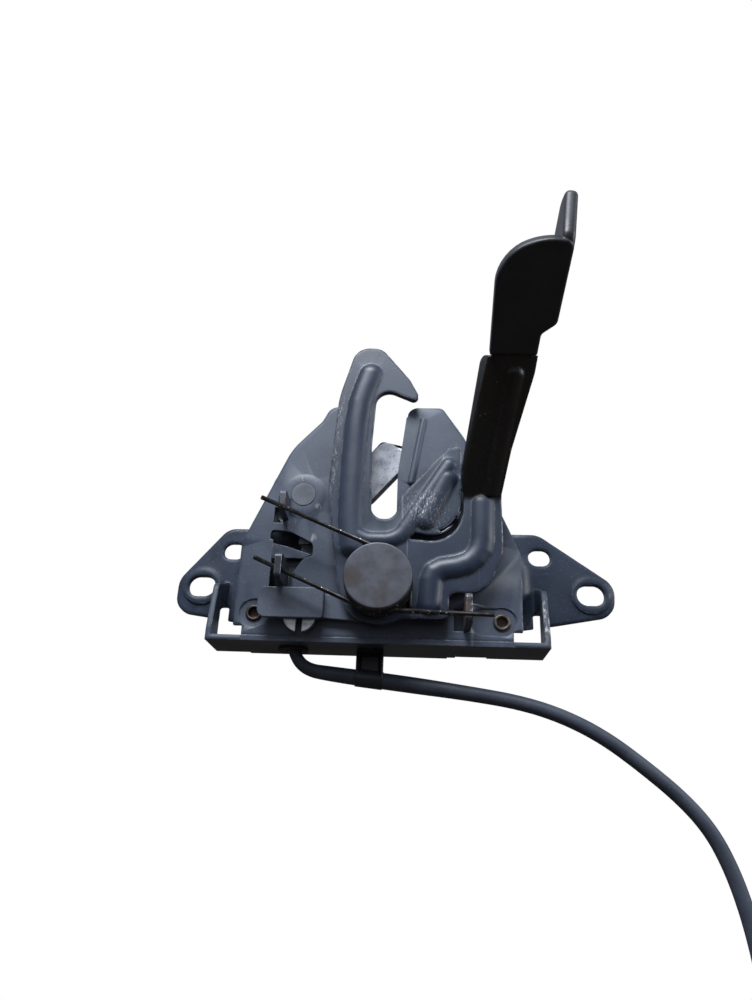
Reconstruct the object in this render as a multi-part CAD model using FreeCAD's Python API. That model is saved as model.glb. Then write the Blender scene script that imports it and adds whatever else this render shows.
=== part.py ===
import FreeCAD, Part
import math
import os

# Hood latch. Millimetres, +Z up, +X to the right seen from the front, the front at -Y.
# Origin: the rear face of the mounting ears, midway between the two lower bolt slots.

V = FreeCAD.Vector

# Sheet and plate thicknesses
base_sheet = 2.0
back_sheet = 2.0
hook_sheet = 2.6
lever_sheet = 2.0
pawl_sheet = 4.0
claw_sheet = 5.0

# How far the pieces stand in front of the mounting face
panel_depth = 20.0
claw_gap = 1.4
back_plate_gap = 2.6
lever_gap = 0.5
washer_thickness = 0.5
stack_play = 0.05

# Mounting ears
ear_slot_spacing = 154.5
ear_slot_width = 8.6
ear_slot_length = 11.0
upper_slot_spacing = 123.6
upper_slot_shift = -3.9
upper_slot_height = 15.2
upper_slot_width = 7.0
upper_slot_length = 8.8
ear_top = 25.0
lip_depth = 0.9

# Striker slot
slot_centre_x = -4.9
slot_width = 11.2
slot_mouth_width = 19.0
slot_bottom = 20.2
panel_top = 72.0

# Bottom flange and its two gussets
flange_left = -68.2
flange_right = 57.4
flange_under = -26.0
panel_foot_left = -55.0
panel_foot_right = 44.2
bend_radius = 3.0
gusset_front_top = -3.5
gusset_rear_top = 1.5
tenon_height = 9.5
tenon_play = 0.2

# Centre pivot and what turns on it
pivot_x = -4.9
pivot_z = -5.9
pivot_head_radius = 12.2
pivot_head_thickness = 2.6
pivot_shank_radius = 5.0
hook_bore_radius = 6.2
sleeve_wall = 2.0
pivot_tail_radius = 7.2
tail_thickness = 1.6
running_play = 0.06

# Coil springs on the centre pivot
wire_radius = 0.85
coil_radius = 11.5
coil_pitch = 1.8
spring_gap = 0.35
notch_play = 0.35

# Claw and its pivot
claw_x = -35.9
claw_z = 32.0
claw_open_angle = 50.0
claw_rivet_radius = 4.7
claw_bush_wall = 1.4
claw_hub_radius = 13.2
latch_radius = 19.0
latch_angle = -88.0
throat_width = 12.8
throat_reach = 29.0
jaw_width = 13.8
jaw_tip_radius = 4.6
jaw_reach = 41.0
upper_jaw_width = 8.6
upper_jaw_reach = 38.0
claw_wire_radius = 0.5
claw_coil_radius = 6.0
claw_coil_pitch = 0.3
claw_leg_start = 100.0
claw_fixed_leg = 8.0
claw_leg_end = (3.4, 58.2)
claw_leg_bend = (-6.4, 60.6)

# Lugs that hold the spring legs
lug_thickness = 2.4
lug_reach = 13.4
hook_leg_lug_x = -42.2
hook_leg_lug_top = 29.7
hook_leg_lug_height = 8.4
fixed_lug_x = 27.3
fixed_lug_top = -10.0
fixed_lug_height = 10.6
fixed_lug_reach = 16.2
pawl_lug_x = -41.1
pawl_lug_top = 3.5
pawl_lug_height = 10.0
pawl_lug_reach = 14.4

# Release lever pad
pad_left = -48.8
pad_right = -24.8
pad_top = -7.2
pad_bottom = -18.5
pad_lift = 3.5
anchor_radius = 5.9
anchor_x = -33.4
anchor_z = -17.4

# Stiffening beads of the hook lever
bead_width = 6.6
bead_height = 1.7

# Pull handle
bend_z = 28.5
bend_inner_radius = 4.0
arm_lean = 37.0
arm_length = 52.0
arm_left = 26.2
arm_right = 40.5
arm_side_run = 7.2
arm_wall_depth = 5.4
wall_splay = 2.2
grip_lean = 60.0
grip_thickness = 5.2
tang_width = 11.0
tang_middle = 42.2
tang_length = 24.0
tang_play = 0.03
wing_thickness = 4.8
wing_right = 59.2
wing_lean = 5.7

# Tubular rivets that hold the back plate
eyelet_radius = 2.7
eyelet_bore = 1.9
eyelet_flange_radius = 3.9
eyelet_flange = 0.8
eyelet_left = (-51.0, -15.6)
eyelet_right = (40.1, -16.9)

# Hood switch
switch_left = -34.0
switch_right = -16.4
switch_bottom = 37.8
switch_top = 48.0
switch_depth = 7.2
plunger_travel = 3.0
plunger_radius = 1.4
claw_pin_radius = 1.5
claw_pin_reach = 9.2
claw_pin_rest = 150.0

# Switch lead
lead_radius = 2.6
lead_y = -10.0
gland_radius = 4.6
gland_lip = 1.0
clip_length = 10.2
clip_wall = 1.3
lead_play = 0.15

# Levels along Y
panel_front = -base_sheet - panel_depth
panel_rear = panel_front + base_sheet
claw_front = panel_rear + claw_gap
claw_rear = claw_front + claw_sheet
back_front = claw_rear + back_plate_gap
back_rear = back_front + back_sheet
pawl_front = claw_front
pawl_rear = pawl_front + pawl_sheet
lever_rear = panel_front - lever_gap
lever_front = lever_rear - lever_sheet
sleeve_front = lever_front - stack_play
washer_rear = sleeve_front - stack_play
hook_rear = washer_rear - washer_thickness - stack_play
hook_front = hook_rear - hook_sheet
first_coil = hook_front - spring_gap - wire_radius
leg_radius = wire_radius + notch_play


def xz(x, z, y=0.0):
    return V(x, y, z)


def rounded_wire(corners, closed=True):
    """Wire through corner points, each a (vector, radius) pair, with a tangent arc at each radius."""
    count = len(corners)
    entries = []
    for i in range(count):
        point, radius = corners[i]
        inner = closed or 0 < i < count - 1
        if radius <= 0 or not inner:
            entries.append((point, None, point))
            continue
        to_last = (corners[i - 1][0] - point).normalize()
        to_next = (corners[(i + 1) % count][0] - point).normalize()
        half = to_last.getAngle(to_next) / 2
        cut = radius / math.tan(half)
        inward = (to_last + to_next).normalize()
        middle = point + inward * (radius / math.sin(half) - radius)
        entries.append((point + to_last * cut, middle, point + to_next * cut))
    edges = []
    for i in range(count):
        start, middle, end = entries[i]
        if middle is not None:
            edges.append(Part.Arc(start, middle, end).toShape())
        if i < count - 1 or closed:
            following = entries[(i + 1) % count][0]
            if end.distanceToPoint(following) > 1e-4:
                edges.append(Part.LineSegment(end, following).toShape())
    return Part.Wire(edges)


def flat_face(corners, y):
    """Face in the plane y, from (x, z, corner radius) triples."""
    return Part.Face(rounded_wire([(xz(x, z, y), r) for x, z, r in corners]))


def plate(corners, front, rear):
    return flat_face(corners, front).extrude(V(0, rear - front, 0))


def section_bar(corners, left, right):
    """Bar along X whose section is given by (y, z, corner radius) triples."""
    wire = rounded_wire([(V(left, y, z), r) for y, z, r in corners])
    return Part.Face(wire).extrude(V(right - left, 0, 0))


def disc(x, z, radius, front, rear):
    return Part.makeCylinder(radius, rear - front, V(x, front, z), V(0, 1, 0))


def ring(x, z, outer, inner, front, rear):
    return disc(x, z, outer, front, rear).cut(disc(x, z, inner, front - 1, rear + 1))


def block(left, right, front, rear, bottom, top):
    return Part.makeBox(right - left, rear - front, top - bottom, V(left, front, bottom))


def bolt_slot(x, z, length, width, front, rear):
    reach = (length - width) / 2
    r = width / 2
    return plate([(x - reach - r, z - r, r * 0.999), (x + reach + r, z - r, r * 0.999),
                  (x + reach + r, z + r, r * 0.999), (x - reach - r, z + r, r * 0.999)], front, rear)


def fuse_all(first, others):
    return first.multiFuse(others).removeSplitter()


def round_bar(path, radius):
    """Round bar along a wire of straight runs and tangent arcs."""
    start = path.OrderedEdges[0]
    first = start.FirstParameter
    ring_edge = Part.makeCircle(radius, start.valueAt(first), start.tangentAt(first))
    return path.makePipeShell([Part.Wire(ring_edge)], True, True)


def turn_about(shape, x, z, degrees):
    """Turn clockwise seen from the front, about an axis along Y through (x, z)."""
    turned = shape.copy()
    turned.rotate(V(x, 0, z), V(0, 1, 0), degrees)
    return turned


def bead(points, width, height, front, sheet):
    """Rounded rib pressed forward along a path: the raised skin and the hollow behind it."""
    radius = (width * width / 4 + height * height) / (2 * height)
    depth = front + radius - height
    path = rounded_wire([(xz(x, z, depth), r) for x, z, r in points], closed=False)
    ends = [points[0], points[-1]]
    skin = fuse_all(round_bar(path, radius), [Part.makeSphere(radius, xz(x, z, depth)) for x, z, r in ends])
    hollow_radius = radius - sheet
    hollow = round_bar(path, hollow_radius)
    hollow = fuse_all(hollow, [Part.makeSphere(hollow_radius, xz(x, z, depth)) for x, z, r in ends])
    keep = block(-200, 200, front - 2 * height, front + sheet * 0.5, -200, 200)
    return skin.common(keep), hollow


def pressed(sheet_shape, beads):
    for skin, hollow in beads:
        sheet_shape = sheet_shape.fuse(skin).cut(hollow)
    return sheet_shape.removeSplitter()


def polar(x, z, radius, degrees, y=0.0):
    """Point on a circle about (x, z), counter-clockwise from +X seen from the front."""
    a = math.radians(degrees)
    return V(x + radius * math.cos(a), y, z + radius * math.sin(a))


def meeting_angle(x, z, radius, point, side):
    """Angle on a coil, in degrees, where a straight leg from the point meets it."""
    dx = point[0] - x
    dz = point[1] - z
    away = math.degrees(math.atan2(dz, dx))
    return away + side * math.degrees(math.acos(radius / math.hypot(dx, dz)))


def tangent_angle(point, side):
    return meeting_angle(pivot_x, pivot_z, coil_radius, point, side)


def coil_point(angle, y):
    return polar(pivot_x, pivot_z, coil_radius, angle, y)


def leg_tip(x, z, radius, pitch, point, angle, y, way):
    """End of a leg that runs straight on from the coil's helix to a place given in front view."""
    meet = polar(x, z, radius, angle, y)
    reach = math.hypot(point[0] - meet.x, point[1] - meet.z)
    return V(point[0], y + way * pitch * reach / (2 * math.pi * radius), point[1])


def coil_edge(x, z, radius, start_y, start_angle, sweep, pitch):
    """Helix about an axis along Y, counter-clockwise seen from the front and winding forward."""
    helix = Part.makeHelix(pitch, pitch * sweep / 360.0, radius)
    helix.rotate(V(0, 0, 0), V(0, 0, 1), start_angle)
    helix.rotate(V(0, 0, 0), V(1, 0, 0), 90)
    helix.translate(V(x, start_y, z))
    return helix.Edges


def wire_spring(first_leg, helix_edges, last_leg, wire):
    """Torsion spring swept in one go: a leg, the coil and a leg, each leg as (point, bend radius) pairs."""
    edges = rounded_wire(first_leg, closed=False).Edges + helix_edges
    edges += rounded_wire(last_leg, closed=False).Edges
    return round_bar(Part.Wire(edges), wire)


# Spring leg lines, in front view
hook_leg_tip = (-49.9, 25.6)
pawl_leg_tip = (-50.4, 1.9)
fixed_leg_tip = (35.8, -18.4)
hook_foot_hole = (pivot_x + coil_radius, -14.8)


hook_spring_turns = 2
hook_spring_sweep = 360.0 * hook_spring_turns + tangent_angle(hook_leg_tip, -1)
hook_leg_y = first_coil - coil_pitch * hook_spring_sweep / 360.0
pawl_leg_y = hook_leg_y - 2 * wire_radius - spring_gap
pawl_spring_sweep = 360.0 + tangent_angle(fixed_leg_tip, -1) + 360.0 - tangent_angle(pawl_leg_tip, 1)
fixed_leg_y = pawl_leg_y - coil_pitch * pawl_spring_sweep / 360.0
head_rear = fixed_leg_y - wire_radius - spring_gap
head_front = head_rear - pivot_head_thickness


def panel_outline():
    """House-shaped outline of the raised panel, without the striker slot."""
    return [(-58.3, -20.2, 0), (-58.3, 12.0, 9), (-42.0, 52.2, 25), (-30.6, 65.2, 4), (-27.4, 72.0, 5),
            (18.2, panel_top, 3), (27.0, 58.4, 16), (48.0, 9.0, 8), (47.6, -20.2, 0)]


def panel_wall():
    """The sheet turned back along the panel's edge: deep beside the ears, a lip above them."""
    outline = rounded_wire([(xz(x, z, panel_front), r) for x, z, r in panel_outline()])
    outer = Part.Face(outline).extrude(V(0, -panel_front, 0))
    inner = Part.Face(outline.makeOffset2D(-base_sheet)).extrude(V(0, -panel_front, 0))
    band = outer.cut(inner)
    deep = band.common(block(-100, 100, panel_front, 0, -15.0, ear_top))
    lip = band.common(block(-100, 100, panel_front, panel_rear + lip_depth, ear_top - 1, panel_top + 1))
    return [deep, lip]


def ear_left():
    tip = -ear_slot_spacing / 2
    return [(-57.0, ear_top, 0), (-69.0, ear_top, 7), (tip - 9.6, 2.6, 9), (tip - 9.6, -10.6, 7),
            (-72.0, -12.6, 12), (-57.0, -15.0, 0)]


def ear_right():
    tip = ear_slot_spacing / 2
    return [(46.4, ear_top, 0), (57.6, ear_top, 8), (tip + 9.6, 4.2, 8), (tip + 8.6, -8.0, 7),
            (63.5, -12.2, 14), (46.4, -15.0, 0)]


def ear(outline, side):
    """One mounting ear with its two bolt slots, their raised pads and the gusset's slot."""
    shape = plate(outline, -base_sheet, 0)
    lower_x = side * ear_slot_spacing / 2
    upper_x = upper_slot_shift + side * upper_slot_spacing / 2
    pad_rise = 0.6
    pads = [disc(lower_x, 0, ear_slot_length * 0.5 + 1.9, -base_sheet - pad_rise, -base_sheet)]
    shape = fuse_all(shape, pads)
    cuts = [bolt_slot(lower_x, 0, ear_slot_length, ear_slot_width, -5, 1),
            bolt_slot(upper_x, upper_slot_height, upper_slot_length, upper_slot_width, -5, 1)]
    left = flange_left if side < 0 else flange_right - base_sheet
    tenon_top = gusset_rear_top + tenon_play
    cuts.append(block(left - tenon_play, left + base_sheet + tenon_play, -5, 1,
                      gusset_rear_top - tenon_height - tenon_play, tenon_top))
    for cutter in cuts:
        shape = shape.cut(cutter)
    return shape


def gusset(left):
    """Flange end turned up to the ear, with a tenon through the ear's slot."""
    profile = [(panel_front, flange_under, 2), (panel_front, -21.5, 2), (-18.0, gusset_front_top, 4),
               (-base_sheet - 0.3, gusset_rear_top, 0), (0, gusset_rear_top, 0),
               (0, gusset_rear_top - tenon_height, 0), (-base_sheet - 0.3, gusset_rear_top - tenon_height, 0),
               (-base_sheet - 0.3, flange_under, 0)]
    return section_bar(profile, left, left + base_sheet)


def bottom_flange():
    """Flange bent back from the foot of the panel, with a relieved rear edge."""
    flange_top = flange_under + base_sheet
    bend = section_bar([(panel_front, -12.0, 0), (panel_front, flange_under, bend_radius),
                        (-base_sheet, flange_under, 0), (-base_sheet, flange_top, 0),
                        (panel_rear, flange_top, bend_radius - base_sheet), (panel_rear, -12.0, 0)],
                       panel_foot_left, panel_foot_right)
    strip = block(flange_left, flange_right, panel_front, -base_sheet, flange_under, flange_top)
    relief = block(24.0, 36.0, -base_sheet - 1.8, 0, flange_under - 1, flange_top + 1)
    lead_hole = Part.makeCylinder(gland_radius + 0.02, 6, V(gland_x, lead_y, -28), V(0, 0, 1))
    clip_hole = Part.makeCylinder(clip_stud_radius, 6, V(clip_x, lead_y, -28), V(0, 0, 1))
    tongue = block(panel_foot_left, 21.0, -base_sheet - 1, -0.2, flange_under, flange_top)
    return [fuse_all(bend, [strip, tongue]).cut(relief).cut(lead_hole).cut(clip_hole)]


def striker_slot(front, rear):
    """Cutter for the striker slot: parallel below, flared to the mouth, rounded at the foot."""
    half = slot_width / 2
    mouth = slot_mouth_width / 2
    x = slot_centre_x
    return plate([(x - half, slot_bottom, half * 0.98), (x + half, slot_bottom, half * 0.98),
                  (x + half, 42.0, 30), (x + mouth, panel_top + 4, 0),
                  (x - mouth, panel_top + 4, 0), (x - half, 42.0, 30)], front, rear)


def pawl_window():
    """Window in the panel through which the pawl's lug reaches the spring leg."""
    return plate([(-47.6, 17.4, 1.6), (-39.6, 16.6, 6), (-30.8, 12.0, 2.6), (-30.8, 7.2, 1.0), (-34.4, 5.8, 6),
                  (-37.8, 0.0, 3), (-37.8, -17.4, 1.5), (-46.4, -17.4, 1.5), (-46.4, 13.4, 0),
                  (-47.6, 13.4, 0)], panel_front - 1, panel_rear + 1)


def window_tongue():
    """Tongue lanced into the window from its left side, its point bent a little to the rear."""
    tongue = plate([(-48.6, 12.4, 0), (-41.0, 10.8, 4), (-31.6, 8.0, 0), (-33.8, 6.2, 0), (-42.0, 6.2, 1),
                    (-48.6, 5.6, 0)], panel_front, panel_front + 1.4)
    tongue.rotate(V(-48.6, panel_front, 0), V(0, 0, 1), 4.0)
    return tongue


def round_boss(x, z, radius, rise):
    return (Part.makeCone(radius, radius - rise, rise, V(x, panel_front, z), V(0, -1, 0)),
            Part.makeCone(radius, radius - rise, rise, V(x, panel_rear, z), V(0, -1, 0)))


def spring_lug(x, top, height, reach, root):
    """Tab turned forward from a plate whose front face is at root."""
    half = lug_thickness / 2
    return section_bar([(root, top - height, 0), (root, top, 0), (root - reach, top, 2.0),
                        (root - reach, top - height, 2.0)], x - half, x + half)


def lug_opening(x, top, height):
    """Hole that a lug leaves in the panel on its left when it is bent forward."""
    left = x - lug_thickness / 2 - 3.4
    return block(left, x - lug_thickness / 2, panel_front - 1, panel_rear + 1, top - height, top)


def leg_passage(tip, side, y, way):
    """Cutter for the hole in a lug through which a spring leg passes."""
    angle = tangent_angle(tip, side)
    end = coil_point(angle, y)
    start = leg_tip(pivot_x, pivot_z, coil_radius, coil_pitch, tip, angle, y, way)
    along = (end - start).normalize()
    return Part.makeCylinder(leg_radius, 26, start - along * 4, along)


def base_plate():
    """One stamping: raised panel with its slot and window, walls, ears, flange, gussets and lugs."""
    panel = plate(panel_outline(), panel_front, panel_rear)
    foot = block(panel_foot_left, panel_foot_right, panel_front, panel_rear, -22.0, -19.0)
    shape = fuse_all(panel, panel_wall() + [foot] + bottom_flange())
    shape = fuse_all(shape, [ear(ear_left(), -1), ear(ear_right(), 1), gusset(flange_left),
                             gusset(flange_right - base_sheet)])
    shape = pressed(shape, [round_boss(claw_x, claw_z, 9.4, 0.9)])
    rib = bead([(10.6, 66.0, 0), (6.0, 38.5, 0)], 3.0, 1.1, panel_front, base_sheet * 0.6)
    shape = pressed(shape, [rib])
    for seat in (eyelet_left, eyelet_right):
        shape = shape.cut(eyelet_seat(seat))
        shape = shape.cut(disc(seat[0], seat[1], eyelet_radius + 0.02, -30, -10))
    shape = shape.cut(striker_slot(panel_front - 3, panel_rear + 5))
    shape = shape.cut(pawl_window()).fuse(window_tongue())
    shape = shape.cut(lug_opening(hook_leg_lug_x, hook_leg_lug_top - 3.0, hook_leg_lug_height - 2.0))
    shape = shape.cut(lug_opening(fixed_lug_x, fixed_lug_top - 2.2, fixed_lug_height - 2.2))
    lugs = [spring_lug(hook_leg_lug_x, hook_leg_lug_top, hook_leg_lug_height, lug_reach, panel_rear),
            spring_lug(fixed_lug_x, fixed_lug_top, fixed_lug_height, fixed_lug_reach, panel_rear)]
    shape = fuse_all(shape, lugs)
    shape = shape.cut(leg_passage(hook_leg_tip, -1, hook_leg_y, -1))
    shape = shape.cut(leg_passage(fixed_leg_tip, -1, fixed_leg_y, -1))
    shape = shape.cut(disc(claw_x, claw_z, claw_rivet_radius + 0.02, -30, -10))
    shape = shape.cut(disc(pivot_x, pivot_z, sleeve_radius + running_play, -30, -10))
    return shape.removeSplitter()


def eyelet_seat(seat):
    """Sunk pocket round a tubular rivet."""
    return disc(seat[0], seat[1], eyelet_flange_radius + 1.6, panel_front - 1, panel_front + 0.5)


sleeve_radius = pivot_shank_radius + sleeve_wall


back_slot_width = 18.6


def back_plate():
    """Plate behind the mechanism that ties the two pivots, with feet riveted to the panel."""
    left = slot_centre_x - back_slot_width / 2
    right = slot_centre_x + back_slot_width / 2
    main = plate([(-55.0, -9.0, 0), (-55.0, 12.0, 6), (-42.0, 45.4, 6), (-37.0, 50.0, 4), (left, 50.0, 3),
                  (left, 16.0, 8), (right, 16.0, 8), (right, 46.0, 3), (17.0, 46.0, 8), (44.2, 4.0, 6),
                  (44.2, -9.0, 0)], back_front, back_rear)
    feet = []
    for x, z in (eyelet_left, eyelet_right):
        left = x - 4.4
        right = x + 4.4 if x > 0 else x + 3.4
        feet.append(block(left, right, panel_rear, panel_rear + back_sheet, z - 4.6, -7.0))
        feet.append(block(left, right, panel_rear, back_rear, -9.0, -9.0 + back_sheet))
    shape = fuse_all(main, feet)
    for x, z in (eyelet_left, eyelet_right):
        shape = shape.cut(disc(x, z, eyelet_radius + 0.02, -30, 0))
    shape = shape.cut(disc(claw_x, claw_z, claw_tail_shank + 0.02, -30, 0))
    shape = shape.cut(disc(pivot_x, pivot_z, pivot_shank_radius + 0.02, -30, 0))
    shape = shape.cut(pin_track())
    shape = shape.cut(disc(*claw_spring_hole(), claw_wire_radius + 0.1, -30, 0))
    for x, z in switch_screw_places():
        shape = shape.cut(disc(x, z, screw_radius, -30, 0))
    return shape


claw_tail_shank = 3.6
screw_radius = 1.2


def pin_track():
    """Arc slot in the back plate for the claw's switch pin."""
    play = 0.9
    outer = claw_pin_reach + claw_pin_radius + play
    inner = claw_pin_reach - claw_pin_radius - play
    band = ring(claw_x, claw_z, outer, inner, back_front - 1, back_rear + 1)
    margin = 18.0
    start = polar(claw_x, claw_z, 40, claw_pin_rest + margin)
    middle = polar(claw_x, claw_z, 60, claw_pin_rest - claw_open_angle / 2)
    end = polar(claw_x, claw_z, 40, claw_pin_rest - claw_open_angle - margin)
    wedge = plate([(claw_x, claw_z, 0), (start.x, start.z, 0), (middle.x, middle.z, 0), (end.x, end.z, 0)],
                  back_front - 1, back_rear + 1)
    return band.common(wedge)


def eyelet(seat):
    """Tubular rivet through the panel and the back plate's foot."""
    x, z = seat
    pocket = panel_front + 0.5
    body = disc(x, z, eyelet_radius, pocket - eyelet_flange, panel_rear + back_sheet)
    front = disc(x, z, eyelet_flange_radius, pocket - eyelet_flange, pocket)
    rear = disc(x, z, eyelet_flange_radius, panel_rear + back_sheet, panel_rear + back_sheet + eyelet_flange)
    shape = fuse_all(body, [front, rear])
    return shape.cut(disc(x, z, eyelet_bore, -40, 0))


def center_rivet():
    """Headed pivot: wide flat head, hook journal, shank through the sleeve, staked tail."""
    head = disc(pivot_x, pivot_z, pivot_head_radius, head_front, head_rear)
    head = head.makeFillet(0.5, [e for e in head.Edges if abs(e.BoundBox.YMax - head_front) < 1e-3])
    journal = disc(pivot_x, pivot_z, hook_bore_radius - running_play, head_rear, washer_rear - washer_thickness)
    shank = disc(pivot_x, pivot_z, pivot_shank_radius, head_rear, back_rear)
    tail = disc(pivot_x, pivot_z, pivot_tail_radius, back_rear, back_rear + tail_thickness)
    tail = tail.makeChamfer(0.5, [e for e in tail.Edges if abs(e.BoundBox.YMin - back_rear - tail_thickness) < 1e-3])
    return fuse_all(head, [journal, shank, tail])


def spring_spacer():
    """Drum between the rivet head and the hook lever that carries both coils."""
    outer = coil_radius - wire_radius - 0.25
    return ring(pivot_x, pivot_z, outer, hook_bore_radius, head_rear, hook_front - stack_play)


def pivot_washer():
    return ring(pivot_x, pivot_z, 10.5, pivot_shank_radius + 0.1, washer_rear - washer_thickness, washer_rear)


def hook_outline():
    """Hook, its two arms round the striker slot, the crescent notch and the handle's foot."""
    return [(-17.6, 97.0, 7), (-7.2, 97.0, 7), (4.8, 81.8, 14), (10.4, 70.6, 1.9), (-8.4, 79.0, 5.4),
            (-9.8, 52.0, 60), (-8.8, 20.4, 4.9), (0.8, 20.4, 4.6), (1.2, 28.4, 9), (20.0, 50.6, 3),
            (25.4, 51.6, 1.5), (25.0, 24.4, 10), (18.2, 14.9, 9), (8.6, 17.4, 0.6), (5.4, 11.4, 0.8),
            (23.0, 9.6, 13), (26.2, 24.0, 12), (arm_left, bend_z, 0), (arm_right, bend_z, 0), (40.6, 8.0, 14),
            (34.4, -7.8, 11), (20.6, -7.8, 2.6), (20.6, -17.6, 2.5), (4.0, -17.8, 2.5), (-3.0, -20.4, 9),
            (-15.4, -18.6, 11), (-20.6, -4.0, 14), (-22.6, 9.0, 12), (-25.8, 34.0, 40), (-23.8, 73.0, 40)]


def handle_arm():
    """Leaning arm: bend, web with its turned-back left wall, second bend and tang."""
    axis_y = hook_front - bend_inner_radius
    root = Part.Face(Part.makePolygon([V(arm_left, hook_front, bend_z), V(arm_right, hook_front, bend_z),
                                       V(arm_right, hook_rear, bend_z), V(arm_left, hook_rear, bend_z),
                                       V(arm_left, hook_front, bend_z)]))
    bend = root.revolve(V(0, axis_y, bend_z), V(1, 0, 0), arm_lean)
    web = plate([(arm_left, 0, 0), (arm_right, 0, 0), (arm_right + 2.9, arm_length * 0.33, 30),
                 (arm_right + 10.1, arm_length * 0.88, 20), (arm_right + 10.9, arm_length, 0),
                 (arm_left + arm_side_run, arm_length, 0)], 0, hook_sheet)
    wall = Part.makePolygon([V(arm_left, 0, 0), V(arm_left + hook_sheet, 0, 0),
                             V(arm_left - wall_splay + hook_sheet, arm_wall_depth, 0),
                             V(arm_left - wall_splay, arm_wall_depth, 0), V(arm_left, 0, 0)])
    wall = Part.Face(wall).extrude(V(arm_side_run, 0, arm_length))
    side = section_bar([(0, 0, 0), (0, arm_length, 0), (arm_wall_depth, arm_length, 3.5), (arm_wall_depth, 1.5, 1)],
                       0, 100)
    wall = wall.common(side)
    rib = bead([(36.0, -2.0, 0), (arm_left + arm_side_run + 10.2, arm_length - 7.0, 0)], bead_width, bead_height,
               0, hook_sheet)
    arm = pressed(fuse_all(web, [wall]), [rib])
    arm = arm.common(block(-100, 100, -10, 20, 0, arm_length))
    tang_left = tang_middle - tang_width / 2
    tang = block(tang_left, tang_left + tang_width, 0, hook_sheet, 0, tang_length)
    tang.rotate(V(0, 0, 0), V(1, 0, 0), grip_lean - arm_lean)
    tang.translate(V(0, 0, arm_length - 0.4))
    arm = arm.fuse(tang)
    return [bend.fuse(place_on_arm(arm))]


def place_on_arm(shape):
    """Carry a shape drawn upright at the bend, front face at y = 0, onto the leaning arm."""
    placed = shape.copy()
    placed.translate(V(0, hook_front, bend_z))
    placed.rotate(V(0, hook_front - bend_inner_radius, bend_z), V(1, 0, 0), arm_lean)
    return placed


def hook_lever():
    """Safety hook and pull handle in one stamping."""
    shape = plate(hook_outline(), hook_front, hook_rear)
    hook_bead = bead([(-11.2, 85.2, 0), (-16.2, 71.0, 14), (-18.2, 31.0, 20), (-16.0, 11.6, 9), (1.6, 12.0, 9),
                      (20.6, 43.4, 0)], bead_width, bead_height, hook_front, hook_sheet)
    handle_bead = bead([(33.6, bend_z, 0), (33.0, 3.6, 11), (14.4, 0.4, 5), (13.4, -12.6, 0)],
                       bead_width, bead_height, hook_front, hook_sheet)
    shape = pressed(shape, [hook_bead, handle_bead])
    below_bend = block(-100, arm_left, -60, 0, -60, 120).fuse(block(arm_left, 100, -60, 0, -60, bend_z))
    shape = shape.common(below_bend)
    shape = fuse_all(shape, handle_arm())
    shape = shape.cut(disc(pivot_x, pivot_z, hook_bore_radius, -60, 0))
    return shape.cut(disc(*hook_foot_hole, leg_radius, -60, 0))


def place_on_grip(shape):
    """Carry a shape drawn upright, front face at y = 0, onto the end of the arm."""
    placed = shape.copy()
    placed.rotate(V(0, 0, 0), V(1, 0, 0), grip_lean - arm_lean)
    placed.translate(V(0, 0, arm_length - 0.4))
    return place_on_arm(placed)


def lever_grip():
    """Moulded finger pad over the tang, with a wing along its right edge."""
    cover = (grip_thickness - hook_sheet) / 2
    pad = plate([(33.4, 0.6, 1.0), (33.2, 37.2, 10), (50.0, 43.4, 20), (59.3, 42.6, 3), (56.8, 13.0, 3),
                 (51.6, 9.0, 2), (51.0, 0.6, 1.0)], -cover, hook_sheet + cover)
    pad = pad.makeFillet(1.3, [e for e in pad.Edges if e.BoundBox.YLength < 0.01])
    wing = section_bar([(-cover, 17.0, 4), (-cover, 43.4, 6), (18.0, 56.0, 3.5), (26.0, 50.0, 6), (25.0, 32.0, 9),
                        (8.0, 17.0, 7)], wing_right - wing_thickness, wing_right)
    wing = wing.makeFillet(wing_thickness * 0.42, [e for e in wing.Edges if e.BoundBox.XLength < 0.01])
    wing.rotate(V(wing_right, -cover, 0), V(0, 0, 1), -wing_lean)
    grip = place_on_grip(fuse_all(pad, [wing]))
    tang_left = tang_middle - tang_width / 2 - tang_play
    tang = block(tang_left, tang_left + tang_width + 2 * tang_play, -tang_play, hook_sheet + tang_play,
                 -2, tang_length + tang_play)
    return grip.cut(place_on_grip(tang))


def hook_spring():
    """Closes the hook: one leg in the panel's lug, the other in the hook lever's foot."""
    meet = tangent_angle(hook_leg_tip, -1)
    fixed = leg_tip(pivot_x, pivot_z, coil_radius, coil_pitch, hook_leg_tip, meet, hook_leg_y, -1)
    foot = leg_tip(pivot_x, pivot_z, coil_radius, coil_pitch, hook_foot_hole, 0, first_coil, 1)
    first_leg = [(V(foot.x, hook_rear, foot.z), 0), (foot, 1.6), (coil_point(0, first_coil), 0)]
    last_leg = [(coil_point(meet, hook_leg_y), 0), (fixed, 0)]
    helix = coil_edge(pivot_x, pivot_z, coil_radius, first_coil, 0, hook_spring_sweep, coil_pitch)
    return wire_spring(first_leg, helix, last_leg, wire_radius)


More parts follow.
